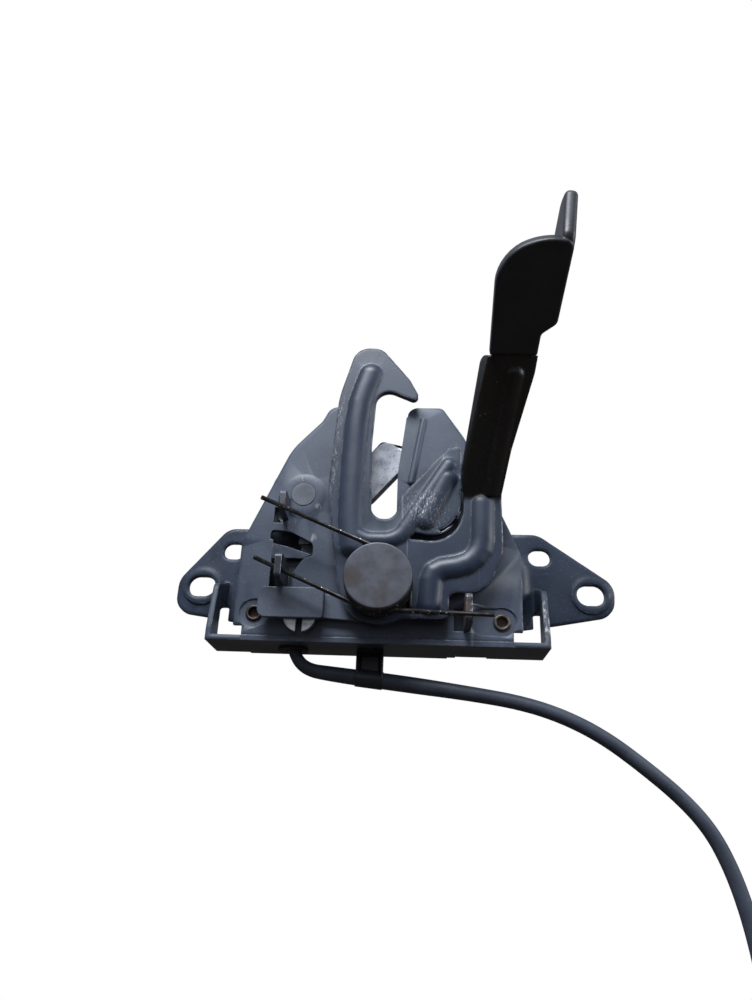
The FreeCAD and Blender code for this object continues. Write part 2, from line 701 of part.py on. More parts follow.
def pawl_spring():
    """Holds the pawl up: one leg under the pawl's lug, the other in the panel's right lug."""
    start = tangent_angle(pawl_leg_tip, 1)
    end = tangent_angle(fixed_leg_tip, -1)
    moving = leg_tip(pivot_x, pivot_z, coil_radius, coil_pitch, pawl_leg_tip, start, pawl_leg_y, 1)
    fixed = leg_tip(pivot_x, pivot_z, coil_radius, coil_pitch, fixed_leg_tip, end, fixed_leg_y, -1)
    helix = coil_edge(pivot_x, pivot_z, coil_radius, pawl_leg_y, start, pawl_spring_sweep, coil_pitch)
    return wire_spring([(moving, 0), (coil_point(start, pawl_leg_y), 0)], helix,
                       [(coil_point(end, fixed_leg_y), 0), (fixed, 0)], wire_radius)


def release_lever():
    """Lever staked to the sleeve, with the raised pad at its free end."""
    pad_front = lever_front - pad_lift
    pad = plate([(pad_left, pad_bottom, 3), (pad_left, pad_top, 3), (pad_right, pad_top, 1.0),
                 (pad_right, pad_bottom, 1.0)], pad_front, pad_front + lever_sheet)
    step = block(pad_right - lever_sheet, pad_right, pad_front, lever_rear, pad_bottom + 1.0, pad_top - 1.0)
    hub_radius = 13.0
    arm = plate([(pad_right - lever_sheet, pad_top - 1.0, 0), (pivot_x - 13.6, -9.4, 8),
                 (pivot_x - 4.0, pivot_z - 7.0, 0), (pivot_x, pivot_z - hub_radius, 0),
                 (pad_right - lever_sheet, pad_bottom + 1.0, 0)], lever_front, lever_rear)
    hub = disc(pivot_x, pivot_z, hub_radius, lever_front, lever_rear)
    shape = fuse_all(pad, [step, arm, hub])
    return shape.cut(disc(pivot_x, pivot_z, sleeve_radius, -60, 0))


def cable_anchor():
    """Turned barrel fixed behind the pad, grooved for the end of the pull cable."""
    seat = lever_front - pad_lift + lever_sheet
    barrel = disc(anchor_x, anchor_z, anchor_radius, seat, panel_front - 0.6)
    groove = block(anchor_x - 0.9, anchor_x + 0.9, seat + 0.8, panel_front, anchor_z - 8, anchor_z)
    return barrel.cut(groove)


def pawl_sleeve():
    """Steel sleeve that joins the pawl behind the panel to the lever in front of it."""
    return ring(pivot_x, pivot_z, sleeve_radius, pivot_shank_radius + running_play, sleeve_front,
                back_front - stack_play)


def pawl():
    """Pawl with its nose under the claw's tooth and a lug turned forward through the panel's window."""
    play = 0.35
    hub = disc(pivot_x, pivot_z, 11.5, pawl_front, pawl_rear)
    half = lug_thickness / 2
    nose = polar(claw_x, claw_z, latch_radius, latch_angle)
    arm = plate([(pivot_x, 5.0, 0), (-20.0, 4.6, 10), (-26.4, 10.0, 3), (nose.x + 5.0, nose.z + 3.0, 0),
                 (nose.x, nose.z + 3.0, 0), (nose.x - 0.6, 8.6, 4), (pawl_lug_x - half, 6.0, 3),
                 (pawl_lug_x - half, pawl_lug_top - pawl_lug_height, 2), (-30.0, -8.8, 14),
                 (pivot_x, -17.0, 0)], pawl_front, pawl_rear)
    arm = arm.cut(disc(claw_x, claw_z, latch_radius + play, -60, 0))
    reach = pawl_rear - panel_front + pawl_lug_reach
    lug = spring_lug(pawl_lug_x, pawl_lug_top, pawl_lug_height, reach, pawl_rear)
    shape = fuse_all(hub, [arm, lug])
    shape = shape.cut(leg_passage(pawl_leg_tip, 1, pawl_leg_y, 1))
    return shape.cut(disc(pivot_x, pivot_z, sleeve_radius, -60, 0))


def claw_upright():
    """Claw drawn latched, its throat along +X: hub, two jaws, and the tooth that the pawl holds."""
    half = throat_width / 2
    top = half + upper_jaw_width
    low = half + jaw_width
    floor = throat_reach - half
    body = plate([(-10.0, top, 7), (upper_jaw_reach, top, 4.2), (upper_jaw_reach, half, 3.6),
                  (floor, half, half * 0.98), (floor, -half, half * 0.98), (jaw_reach, -half, jaw_tip_radius),
                  (jaw_reach, -low, jaw_tip_radius), (17.0, -low, 9), (0, -claw_hub_radius, 2)], 0, claw_sheet)
    hub = disc(0, 0, claw_hub_radius, 0, claw_sheet)
    face = polar(0, 0, 40, latch_angle)
    corner = polar(0, 0, 60, latch_angle - 27)
    back = polar(0, 0, 40, latch_angle - claw_open_angle - 5)
    sector = plate([(0, 0, 0), (face.x, face.z, 0), (corner.x, corner.z, 0), (back.x, back.z, 0)], 0, claw_sheet)
    tooth = disc(0, 0, latch_radius, 0, claw_sheet).common(sector)
    return fuse_all(body, [hub, tooth])


def claw():
    """Forged claw, in its open place as caught by the picture."""
    shape = claw_upright()
    shape.translate(V(claw_x, claw_front, claw_z))
    shape = turn_about(shape, claw_x, claw_z, -claw_open_angle)
    shape = shape.cut(disc(claw_x, claw_z, claw_bush_radius, -60, 0))
    pin_x, pin_z = claw_pin_place()
    return shape.cut(disc(pin_x, pin_z, claw_pin_radius, -60, 0))


claw_bush_radius = claw_rivet_radius + claw_bush_wall


def claw_pin_place():
    place = polar(claw_x, claw_z, claw_pin_reach, claw_pin_rest)
    return place.x, place.z


def claw_pin():
    """Pin staked in the claw that works the switch behind the back plate."""
    x, z = claw_pin_place()
    return disc(x, z, claw_pin_radius, claw_front, back_rear + switch_depth * 0.8)


def claw_bush():
    """Plastic bush between the claw and its rivet."""
    return ring(claw_x, claw_z, claw_bush_radius, claw_rivet_radius + running_play, panel_rear + stack_play,
                claw_rear + 0.2)


def claw_rivet():
    """Shouldered rivet, flush at the front, staked behind the back plate."""
    shoulder = disc(claw_x, claw_z, claw_rivet_radius, panel_front - 1.1, back_front)
    shank = disc(claw_x, claw_z, claw_tail_shank, back_front, back_rear)
    tail = disc(claw_x, claw_z, claw_tail_shank + 1.6, back_rear, back_rear + tail_thickness)
    return fuse_all(shoulder, [shank, tail])


def claw_spring():
    """Returns the claw to open: coil round its rivet, one leg over the tip of the lower jaw."""
    near = claw_rear + claw_wire_radius + 0.7
    leave = meeting_angle(claw_x, claw_z, claw_coil_radius, claw_leg_bend, -1)
    sweep = 360.0 + leave - claw_leg_start
    far = near + claw_coil_pitch * sweep / 360.0
    helix = coil_edge(claw_x, claw_z, claw_coil_radius, far, claw_leg_start, sweep, claw_coil_pitch)
    bend = leg_tip(claw_x, claw_z, claw_coil_radius, claw_coil_pitch, claw_leg_bend, leave, near, -1)
    moving = [(polar(claw_x, claw_z, claw_coil_radius, leave, near), 0), (bend, 2.0),
              (xz(*claw_leg_end, bend.y), 0)]
    hole = claw_spring_hole()
    root = leg_tip(claw_x, claw_z, claw_coil_radius, claw_coil_pitch, hole, claw_leg_start, far, 1)
    fixed = [(V(root.x, back_rear - 0.3, root.z), 0), (root, 0.7),
             (polar(claw_x, claw_z, claw_coil_radius, claw_leg_start, far), 0)]
    return wire_spring(fixed, helix, moving, claw_wire_radius)


def claw_spring_hole():
    """Front-view place where the claw spring's fixed leg turns back into the plate."""
    start = polar(claw_x, claw_z, claw_coil_radius, claw_leg_start)
    along = polar(0, 0, 1, claw_leg_start - 90)
    return start.x + along.x * claw_fixed_leg, start.z + along.z * claw_fixed_leg


def switch_screw_places():
    return ((switch_right - 2.4, switch_bottom + 2.4), (switch_right - 2.4, switch_top - 2.4))


latched_pin = polar(claw_x, claw_z, claw_pin_reach, claw_pin_rest - claw_open_angle)
plunger_z = latched_pin.z
plunger_tip = latched_pin.x + claw_pin_radius + 0.15 - plunger_travel
plunger_y = back_rear + switch_depth / 2
plunger_stem = 9.0


def switch_housing():
    """Sealed switch on the rear of the back plate, with a gland for its lead."""
    front = back_rear
    rear = back_rear + switch_depth
    body = block(switch_left, switch_right, front, rear, switch_bottom, switch_top)
    body = body.makeFillet(1.0, [e for e in body.Edges if e.BoundBox.YLength > switch_depth - 0.1])
    outlet = Part.makeCylinder(lead_radius + 0.9, switch_bottom - lead_route[0].z, lead_route[0], V(0, 0, 1))
    body = body.fuse(outlet)
    bore_end = plunger_tip + plunger_stem + plunger_travel + 0.5
    bore = Part.makeCylinder(plunger_radius + 0.08, bore_end - switch_left + 1,
                             V(switch_left - 1, plunger_y, plunger_z), V(1, 0, 0))
    body = body.cut(bore)
    for x, z in switch_screw_places():
        body = body.cut(disc(x, z, screw_radius, -60, 0))
    return body.removeSplitter()


def switch_plunger():
    """Button pushed by the claw's pin."""
    head = Part.makeCylinder(2.0, 1.6, V(plunger_tip, plunger_y, plunger_z), V(1, 0, 0))
    stem = Part.makeCylinder(plunger_radius, plunger_stem - 1.0, V(plunger_tip + 1.0, plunger_y, plunger_z),
                             V(1, 0, 0))
    return fuse_all(head, [stem])


def switch_screws():
    """Two screws that hold the switch to the back plate."""
    screws = []
    for x, z in switch_screw_places():
        head_y = back_rear + switch_depth
        shank = disc(x, z, screw_radius, back_front - 0.4, head_y)
        head = disc(x, z, 2.1, head_y, head_y + 1.2)
        cross = block(x - 1.3, x + 1.3, head_y + 0.5, head_y + 2, z - 0.25, z + 0.25)
        screws.append(fuse_all(shank, [head]).cut(cross))
    return Part.makeCompound(screws)


# Route of the switch lead: down behind the back plate, through the flange, away to the right
lead_route = [
    V(-25.2, -5.4, 35.0),
    V(-25.2, -5.4, 15.0),
    V(-31.0, -5.0, -3.0),
    V(-37.6, -7.6, -17.0),
    V(-37.6, lead_y, -26.0),
    V(-32.6, lead_y, -33.6),
    V(-21.0, lead_y, -35.2),
    V(5.0, lead_y, -37.9),
    V(28.0, lead_y - 1.0, -40.7),
    V(47.0, lead_y - 1.6, -43.5),
    V(62.0, lead_y - 2.0, -47.9),
    V(76.0, lead_y - 2.0, -54.7),
    V(89.0, lead_y - 2.0, -64.2),
    V(100.8, lead_y - 1.6, -73.9),
    V(109.4, lead_y - 1.0, -83.6),
    V(115.0, lead_y, -95.2),
    V(118.6, lead_y, -109.0),
    V(120.8, lead_y, -125.0),
    V(121.6, lead_y, -143.0),
    V(121.2, lead_y, -163.0),
    V(120.0, lead_y, -184.0),
    V(118.4, lead_y, -206.0),
]

clip_stud_radius = 2.2
clip_x = -8.0
gland_x = lead_route[4].x + 0.5


def lead_path():
    """Straight runs joined by tangent arcs, each arc as large as its two runs allow."""
    corners = [(lead_route[0], 0)]
    for i in range(1, len(lead_route) - 1):
        before = lead_route[i] - lead_route[i - 1]
        after = lead_route[i + 1] - lead_route[i]
        turn = before.getAngle(after)
        radius = 0.45 * min(before.Length, after.Length) / math.tan(turn / 2)
        print("lead point %d: turn %.0f deg, radius %.1f mm" % (i, math.degrees(turn), radius))
        corners.append((lead_route[i], radius))
    corners.append((lead_route[-1], 0))
    return rounded_wire(corners, closed=False)


def switch_lead():
    """Sleeved two-core lead of the hood switch."""
    path = lead_path()
    tube = round_bar(path, lead_radius)
    print("lead length %.1f mm, volume ratio %.4f" % (path.Length, tube.Volume / (math.pi * lead_radius ** 2 * path.Length)))
    return tube


def flange_gland():
    """Rubber gland in the flange where the lead passes through."""
    top = flange_under + base_sheet
    body = Part.makeCylinder(gland_radius, base_sheet, V(gland_x, lead_y, flange_under), V(0, 0, 1))
    lips = [Part.makeCylinder(gland_radius + gland_lip, 0.9, V(gland_x, lead_y, top), V(0, 0, 1)),
            Part.makeCylinder(gland_radius + gland_lip, 0.9, V(gland_x, lead_y, flange_under - 0.9), V(0, 0, 1))]
    return fuse_all(body, lips).cut(round_bar(lead_path(), lead_radius + 0.02))


def lead_clip():
    """Plastic clip plugged into the flange, with its band round the lead."""
    left = clip_x - clip_length / 2
    right = clip_x + clip_length / 2
    before, after = lead_route[6], lead_route[7]
    along = (after - before).normalize()
    centre = before + along * ((clip_x - before.x) / along.x)
    outer = lead_radius + lead_play + clip_wall
    start = centre - along * (clip_length / 2)
    band = Part.makeCylinder(outer, clip_length, start, along)
    top = block(left, right, lead_y - outer, lead_y + outer, flange_under - 1.6, flange_under)
    cheeks = [block(left, left + 1.8, lead_y - outer, lead_y + outer, centre.z, flange_under - 1.0),
              block(right - 1.8, right, lead_y - outer, lead_y + outer, centre.z, flange_under - 1.0)]
    stud = Part.makeCylinder(clip_stud_radius - 0.05, base_sheet + 1.2, V(clip_x, lead_y, flange_under), V(0, 0, 1))
    barb = Part.makeCone(clip_stud_radius + 0.8, clip_stud_radius - 0.6, 2.2,
                         V(clip_x, lead_y, flange_under + base_sheet + 0.2), V(0, 0, 1))
    shape = fuse_all(band, [top, stud, barb] + cheeks)
    passage = Part.makeCylinder(lead_radius + lead_play, clip_length + 8, start - along * 4, along)
    return shape.cut(passage)


connector_length = 26.0
connector_width = 14.0
connector_depth = 8.6
terminal_pitch = 4.2
terminal_width = 2.4
terminal_height = 1.6
terminal_length = 9.0


def along_lead_end(shape):
    """Carry a shape drawn upright under the origin onto the end of the lead."""
    end = lead_route[-1]
    away = (end - lead_route[-2]).normalize()
    placed = shape.copy()
    placed.Placement = FreeCAD.Placement(end, FreeCAD.Rotation(V(0, 0, -1), away))
    return placed


def terminal_block(play, length):
    """Rectangular bars at the two contact places, from just inside the connector's mating face."""
    bars = []
    top = -connector_length + length
    for x in (-terminal_pitch / 2, terminal_pitch / 2):
        bars.append(block(x - terminal_width / 2 - play, x + terminal_width / 2 + play,
                          -terminal_height / 2 - play, terminal_height / 2 + play, -connector_length, top))
    return bars


def lead_connector():
    """Two-way female plug at the far end of the lead, with its locking tongue."""
    half_w = connector_width / 2
    half_d = connector_depth / 2
    body = block(-half_w, half_w, -half_d, half_d, -connector_length, -4.0)
    body = body.makeFillet(1.6, [e for e in body.Edges if e.BoundBox.ZLength > connector_length - 5])
    collar = Part.makeCylinder(lead_radius + 1.6, 4.0, V(0, 0, -4.0), V(0, 0, 1))
    tongue = block(-2.4, 2.4, -half_d - 1.8, -half_d, -connector_length + 3.0, -7.0)
    ramp = block(-3.4, 3.4, -half_d - 2.6, -half_d - 1.0, -10.0, -7.0)
    key = block(-half_w - 0.9, half_w + 0.9, -1.0, 1.0, -connector_length + 6.0, -10.0)
    shape = fuse_all(body, [collar, tongue, ramp, key])
    for cavity in terminal_block(0.05, terminal_length + 1.0):
        shape = shape.cut(cavity)
    return along_lead_end(shape)


def lead_terminals():
    """Two receptacle terminals seated in the connector."""
    bars = []
    for bar in terminal_block(0.0, terminal_length + 0.9):
        bars.append(bar.cut(block(-20, 20, -20, 20, -connector_length - 1, -connector_length + 0.9)))
    return Part.makeCompound([along_lead_end(bar) for bar in bars])


def write(name, shape):
    solids = shape.Solids
    result = solids[0] if len(solids) == 1 else Part.makeCompound(solids)
    result.exportStep("parts/%s.step" % name)
    print("%-16s solids %d valid %s volume %.0f" % (name, len(solids), result.isValid(), result.Volume))


def main():
    os.makedirs("parts", exist_ok=True)
    write("base_plate", base_plate())
    write("back_plate", back_plate())
    write("eyelet_left", eyelet(eyelet_left))
    write("eyelet_right", eyelet(eyelet_right))
    write("center_rivet", center_rivet())
    write("spring_spacer", spring_spacer())
    write("pivot_washer", pivot_washer())
    write("hook_lever", hook_lever())
    write("lever_grip", lever_grip())
    write("hook_spring", hook_spring())
    write("pawl_spring", pawl_spring())
    write("release_lever", release_lever())
    write("cable_anchor", cable_anchor())
    write("pawl_sleeve", pawl_sleeve())
    write("pawl", pawl())
    write("claw", claw())
    write("claw_pin", claw_pin())
    write("claw_bush", claw_bush())
    write("claw_rivet", claw_rivet())
    write("claw_spring", claw_spring())
    write("switch_housing", switch_housing())
    write("switch_plunger", switch_plunger())
    write("switch_screws", switch_screws())
    write("flange_gland", flange_gland())
    write("lead_clip", lead_clip())
    write("switch_lead", switch_lead())
    write("lead_connector", lead_connector())
    write("lead_terminals", lead_terminals())


main()
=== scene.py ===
import math

import bmesh
import bpy
from mathutils import Matrix, Vector


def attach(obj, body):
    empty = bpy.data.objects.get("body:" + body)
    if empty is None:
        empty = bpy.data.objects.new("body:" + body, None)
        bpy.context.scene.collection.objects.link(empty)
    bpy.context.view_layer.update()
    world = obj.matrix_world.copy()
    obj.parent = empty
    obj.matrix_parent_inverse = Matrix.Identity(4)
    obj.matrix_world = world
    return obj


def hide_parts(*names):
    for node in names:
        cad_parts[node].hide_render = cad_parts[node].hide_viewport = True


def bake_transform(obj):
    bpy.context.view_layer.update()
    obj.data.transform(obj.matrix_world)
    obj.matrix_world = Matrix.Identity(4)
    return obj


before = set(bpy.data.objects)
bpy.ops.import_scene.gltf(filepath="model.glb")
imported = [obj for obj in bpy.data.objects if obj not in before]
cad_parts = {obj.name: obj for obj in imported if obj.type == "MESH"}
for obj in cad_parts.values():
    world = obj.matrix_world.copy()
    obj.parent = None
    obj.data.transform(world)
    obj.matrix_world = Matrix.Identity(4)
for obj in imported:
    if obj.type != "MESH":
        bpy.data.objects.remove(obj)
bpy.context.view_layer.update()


# Places that several pieces share, in metres: the claw's pivot and the centre rivet's, both turning about Y.
claw_pivot = (-0.0359, 0.0, 0.032)
centre_pivot = (-0.0049, 0.0, -0.0059)
weld_distance = 1e-6


# Materials are built from the same few nodes: clouds, speckles, worn corners and soft round patches.
def start_material(name):
    """New material, with its node tree, shader and Object coordinates."""
    mat = bpy.data.materials.new(name)
    mat.use_nodes = True
    tree = mat.node_tree
    place = tree.nodes.new("ShaderNodeTexCoord").outputs["Object"]
    return mat, tree, tree.nodes["Principled BSDF"], place


def add_node(tree, kind, settings=None, **values):
    """Node with some of its settings, and inputs given by name: numbers, colours or other nodes' outputs."""
    node = tree.nodes.new(kind)
    for key, value in (settings or {}).items():
        setattr(node, key, value)
    for key, value in values.items():
        socket = node.inputs[int(key[1:])] if key[0] == "_" else node.inputs[key.replace("_", " ")]
        feed(tree, socket, value)
    return node


def feed(tree, socket, value):
    """Give a socket a link, a colour or a number."""
    if isinstance(value, bpy.types.NodeSocket):
        tree.links.new(value, socket)
    elif isinstance(value, tuple) and len(value) == 3 and socket.type == "RGBA":
        socket.default_value = (*value, 1)
    else:
        socket.default_value = value


def math_of(tree, operation, first, second=0.0):
    """Sum, product or the like of two values, kept between 0 and 1."""
    node = add_node(tree, "ShaderNodeMath", {"operation": operation, "use_clamp": True}, _0=first, _1=second)
    return node.outputs[0]


def stepped(tree, value, low, high, out_low=0.0, out_high=1.0):
    """Value run smoothly from one level to another, as its source goes from low to high."""
    node = add_node(tree, "ShaderNodeMapRange", {"interpolation_type": "SMOOTHSTEP"}, Value=value,
                    From_Min=low, From_Max=high, To_Min=out_low, To_Max=out_high)
    return node.outputs["Result"]


def blended(tree, amount, first, second):
    """Colour or number between two others."""
    is_colour = isinstance(first, tuple) or (isinstance(first, bpy.types.NodeSocket) and first.type == "RGBA")
    node = tree.nodes.new("ShaderNodeMix")
    node.data_type = "RGBA" if is_colour else "FLOAT"
    a, b, out = (6, 7, 2) if is_colour else (2, 3, 0)
    feed(tree, node.inputs[0], amount)
    feed(tree, node.inputs[a], first)
    feed(tree, node.inputs[b], second)
    return node.outputs[out]


def noise_of(tree, place, scale, detail=3.0, stretch=None, roughness=0.55):
    """Noise, drawn out and turned where a stretch of (scales, angles) is given."""
    if stretch:
        scales, angles = stretch
        place = add_node(tree, "ShaderNodeMapping", Vector=place, Scale=scales, Rotation=angles).outputs[0]
    return add_node(tree, "ShaderNodeTexNoise", Vector=place, Scale=scale, Detail=detail,
                    Roughness=roughness).outputs["Fac"]


def near_point(tree, place, point, inner, outer):
    """Soft round patch about a point of the object."""
    apart = add_node(tree, "ShaderNodeVectorMath", {"operation": "DISTANCE"}, _0=place, _1=point)
    return stepped(tree, apart.outputs["Value"], inner, outer, 1.0, 0.0)


def new_group(name, inputs, outputs):
    """Shader node group with its sockets, each given as (name, kind, default)."""
    group = bpy.data.node_groups.new(name, "ShaderNodeTree")
    for label, kind, default in inputs:
        socket = group.interface.new_socket(label, in_out="INPUT", socket_type="NodeSocket" + kind)
        if default is not None:
            socket.default_value = default
    for label, kind in outputs:
        group.interface.new_socket(label, in_out="OUTPUT", socket_type="NodeSocket" + kind)
    return group, group.nodes.new("NodeGroupInput"), group.nodes.new("NodeGroupOutput")


def make_edge_wear():
    """Mask of the corners where a finish rubs off, broken up by noise, and the normal of a softened bend."""
    flat = 0.985
    cornered = 0.83
    least_hold = 0.62
    group, entry, leave = new_group(
        "edge_wear",
        [("Place", "Vector", None), ("Width", "Float", 0.0006), ("Bend Radius", "Float", 0.0005),
         ("Breakup", "Float", 260.0), ("Amount", "Float", 0.5)],
        [("Mask", "Float"), ("Soft Normal", "Vector")])
    rounded = add_node(group, "ShaderNodeBevel", {"samples": 4}, Radius=entry.outputs["Width"])
    bent = add_node(group, "ShaderNodeBevel", {"samples": 6}, Radius=entry.outputs["Bend Radius"])
    facing = group.nodes.new("ShaderNodeNewGeometry")
    alike = add_node(group, "ShaderNodeVectorMath", {"operation": "DOT_PRODUCT"},
                     _0=rounded.outputs[0], _1=facing.outputs["Normal"]).outputs["Value"]
    corner = stepped(group, alike, flat, cornered)
    grain = noise_of(group, entry.outputs["Place"], entry.outputs["Breakup"], detail=6.0, roughness=0.7)
    spared = math_of(group, "SUBTRACT", 1.0, entry.outputs["Amount"])
    broken = math_of(group, "SUBTRACT", grain, math_of(group, "MULTIPLY", spared, least_hold))
    patches = stepped(group, broken, 0.14, 0.26)
    feed(group, leave.inputs["Mask"], math_of(group, "MULTIPLY", corner, patches))
    feed(group, leave.inputs["Soft Normal"], bent.outputs[0])
    return group


def make_unevenness():
    """Cloudy variation, fine speckle and orange-peel height for any finish."""
    group, entry, leave = new_group(
        "unevenness",
        [("Place", "Vector", None), ("Cloud Scale", "Float", 45.0), ("Speckle Scale", "Float", 1100.0),
         ("Peel Scale", "Float", 1500.0)],
        [("Cloud", "Float"), ("Speckle", "Float"), ("Height", "Float")])
    place = entry.outputs["Place"]
    cloud_share = 0.35
    cloud = stepped(group, noise_of(group, place, entry.outputs["Cloud Scale"], detail=5.0), 0.32, 0.68)
    speckle = stepped(group, noise_of(group, place, entry.outputs["Speckle Scale"], detail=2.0), 0.6, 0.72)
    peel = noise_of(group, place, entry.outputs["Peel Scale"], detail=2.0)
    feed(group, leave.inputs["Cloud"], cloud)
    feed(group, leave.inputs["Speckle"], speckle)
    feed(group, leave.inputs["Height"], blended(group, cloud_share, peel, cloud))
    return group


edge_wear = make_edge_wear()
unevenness = make_unevenness()


def group_in(tree, group, **values):
    """Outputs of a shared group placed in a material with its own values."""
    return add_node(tree, "ShaderNodeGroup", {"node_tree": group}, **values).outputs


def dress(node, mat):
    """Give a CAD node its material."""
    data = bpy.data.objects[node].data
    data.materials.clear()
    data.materials.append(mat)


def outline_bend(tree, place):
    """Radius of the pressed bend along the raised panel's outline, and of a cut edge away from it."""
    sides = [(-0.0583, 0.0, 0.0), (-0.0502, 0.0321, -22.1), (-0.0347, 0.0621, -36.4), (0.0, 0.072, -90.0),
             (0.0375, 0.0337, -157.0), (0.0478, 0.0, 180.0)]
    bend_radius = 0.0021
    cut_edge_radius = 0.0005
    bend_reach = 0.0025
    bend_end = 0.0035
    gap = 1.0
    for x, z, inward in sides:
        facing = Vector((math.cos(math.radians(inward)), 0.0, math.sin(math.radians(inward))))
        along = add_node(tree, "ShaderNodeVectorMath", {"operation": "DOT_PRODUCT"},
                         _0=place, _1=tuple(facing)).outputs["Value"]
        inside = add_node(tree, "ShaderNodeMath", {"operation": "SUBTRACT"},
                          _0=along, _1=facing.dot((x, 0.0, z))).outputs[0]
        gap = add_node(tree, "ShaderNodeMath", {"operation": "MINIMUM"}, _0=inside, _1=gap).outputs[0]
    return stepped(tree, gap, bend_reach, bend_end, bend_radius, cut_edge_radius)


def dust_and_shade_mask(tree, place, depth, cloud, film, painted_shade_patches):
    """Dust on the raised front, which fades towards the ears. As painted shade it stops on parts well
    forward, where the handle's arm leans out, and thins in listed patches.
    """
    ear_side, raised_face = -0.012, -0.0215
    arm_front, arm_foot = -0.0365, -0.0325
    least_cloud = 0.48
    shaded_share = 0.6
    dust_and_shade = math_of(tree, "MULTIPLY", stepped(tree, depth, ear_side, raised_face), film)
    # Painted shade: no dust on parts well in front of the face, as on the forward-leaning arm.
    dust_and_shade = math_of(tree, "MULTIPLY", dust_and_shade, stepped(tree, depth, arm_front, arm_foot))
    # Painted shade: each listed patch thins the dust.
    for point, inner, outer in painted_shade_patches:
        unshaded = add_node(tree, "ShaderNodeMath", {"operation": "MULTIPLY_ADD"}, _1=-shaded_share, _2=1.0,
                        _0=near_point(tree, place, point, inner, outer)).outputs[0]
        dust_and_shade = math_of(tree, "MULTIPLY", dust_and_shade, unshaded)
    return math_of(tree, "MULTIPLY", dust_and_shade, blended(tree, cloud, least_cloud, 1.0))


def arm_shade_mask(tree, split):
    """Handle's arm on the hook lever, which takes painted shade: right of its fold and above its foot."""
    fold_left, fold_right = 0.0253, 0.0258
    foot_low, foot_high = 0.0285, 0.0305
    right = stepped(tree, split["X"], fold_left, fold_right)
    above = stepped(tree, split["Z"], foot_low, foot_high)
    return math_of(tree, "MULTIPLY", right, above)


def with_stains(tree, place, rust, colour, rough):
    """Colour and roughness with brown stains about the points given as (point, radius)."""
    rust_brown = (0.115, 0.06, 0.034)
    rust_roughness = 0.7
    core_share = 0.3
    for point, outer in rust:
        stain = stepped(tree, noise_of(tree, place, 260.0, detail=5.0), 0.42, 0.6)
        stain = math_of(tree, "MULTIPLY", stain, near_point(tree, place, point, outer * core_share, outer))
        colour = blended(tree, stain, colour, rust_brown)
        rough = blended(tree, stain, rough, rust_roughness)
    return colour, rough


def with_rubs(tree, place, rubs, worn):
    """Worn mask with rubbed places added, each given as (point, inner radius, outer radius, level)."""
    along_rub = ((1.0, 1.0, 0.35), (0, 0.5, 0))
    for point, inner, outer, level in rubs:
        patch = near_point(tree, place, point, inner, outer)
        grain = noise_of(tree, place, 900.0, detail=4.0, stretch=along_rub)
        rubbed = math_of(tree, "MULTIPLY", patch, stepped(tree, grain, level, level + 0.05))
        worn = math_of(tree, "MAXIMUM", worn, rubbed)
    return worn


def with_scratches(tree, place, worn):
    """Worn mask with a few long, faint scratches added."""
    along_scratch = ((1.0, 1.0, 0.06), (0, 0.7, 0))
    faintness = 0.35
    streaks = noise_of(tree, place, 420.0, detail=2.0, stretch=along_scratch)
    scratch = math_of(tree, "MULTIPLY", stepped(tree, streaks, 0.71, 0.74), faintness)
    return math_of(tree, "MAXIMUM", worn, scratch)


def coated_steel(name, coat, coat_dusty, film=0.0, rubs=(), wear=0.45, wear_width=0.0006, gloss=0.34,
                 worn_margin=None, bend=None, rust=(), painted_shade_patches=(), arm_shade_colour=None, bend_radius=0.0006):
    """Dipped dark coat over steel: cloudy, dull with dust on its front, bare where it is rubbed. Painted
    shade, where asked, darkens the handle's arm and thins the dust in listed patches.
    """
    bare_steel = (0.33, 0.325, 0.33)
    dusty_roughness = 0.47
    bare_roughness = 0.42
    bare_metallic = 0.85
    mat, tree, shader, place = start_material(name)
    uneven = group_in(tree, unevenness, Place=place)
    edges = group_in(tree, edge_wear, Place=place, Width=wear_width, Amount=wear,
                     Bend_Radius=bend(tree, place) if bend else bend_radius)
    split = add_node(tree, "ShaderNodeSeparateXYZ", Vector=place).outputs
    cloud = uneven["Cloud"]
    dust_and_shade = dust_and_shade_mask(tree, place, split["Y"], cloud, film, painted_shade_patches)
    colour = blended(tree, cloud, coat, tuple(c * 1.35 for c in coat))
    # Painted shade: the handle's arm is coloured near black and keeps no dust.
    if arm_shade_colour:
        arm = arm_shade_mask(tree, split)
        colour = blended(tree, arm, colour, arm_shade_colour)
        dust_and_shade = math_of(tree, "MULTIPLY", dust_and_shade, math_of(tree, "SUBTRACT", 1.0, arm))
    colour = blended(tree, dust_and_shade, colour, coat_dusty)
    colour = blended(tree, math_of(tree, "MULTIPLY", uneven["Speckle"], 0.35), colour,
                     tuple(min(1.0, c * 1.7) for c in coat_dusty))
    rough = blended(tree, cloud, gloss, gloss + 0.1)
    rough = blended(tree, dust_and_shade, rough, dusty_roughness)
    colour, rough = with_stains(tree, place, rust, colour, rough)
    worn = with_rubs(tree, place, rubs, edges["Mask"])
    if worn_margin:
        worn = math_of(tree, "MAXIMUM", worn, worn_margin(tree, place, split))
    worn = with_scratches(tree, place, worn)
    feed(tree, shader.inputs["Base Color"], blended(tree, worn, colour, bare_steel))
    feed(tree, shader.inputs["Roughness"], blended(tree, worn, rough, bare_roughness))
    feed(tree, shader.inputs["Metallic"], blended(tree, worn, 0.0, bare_metallic))
    height = blended(tree, worn, uneven["Height"], 0.0)
    bump = add_node(tree, "ShaderNodeBump", Strength=0.16, Distance=0.0002, Height=height,
                    Normal=edges["Soft Normal"])
    feed(tree, shader.inputs["Normal"], bump.outputs[0])
    return mat


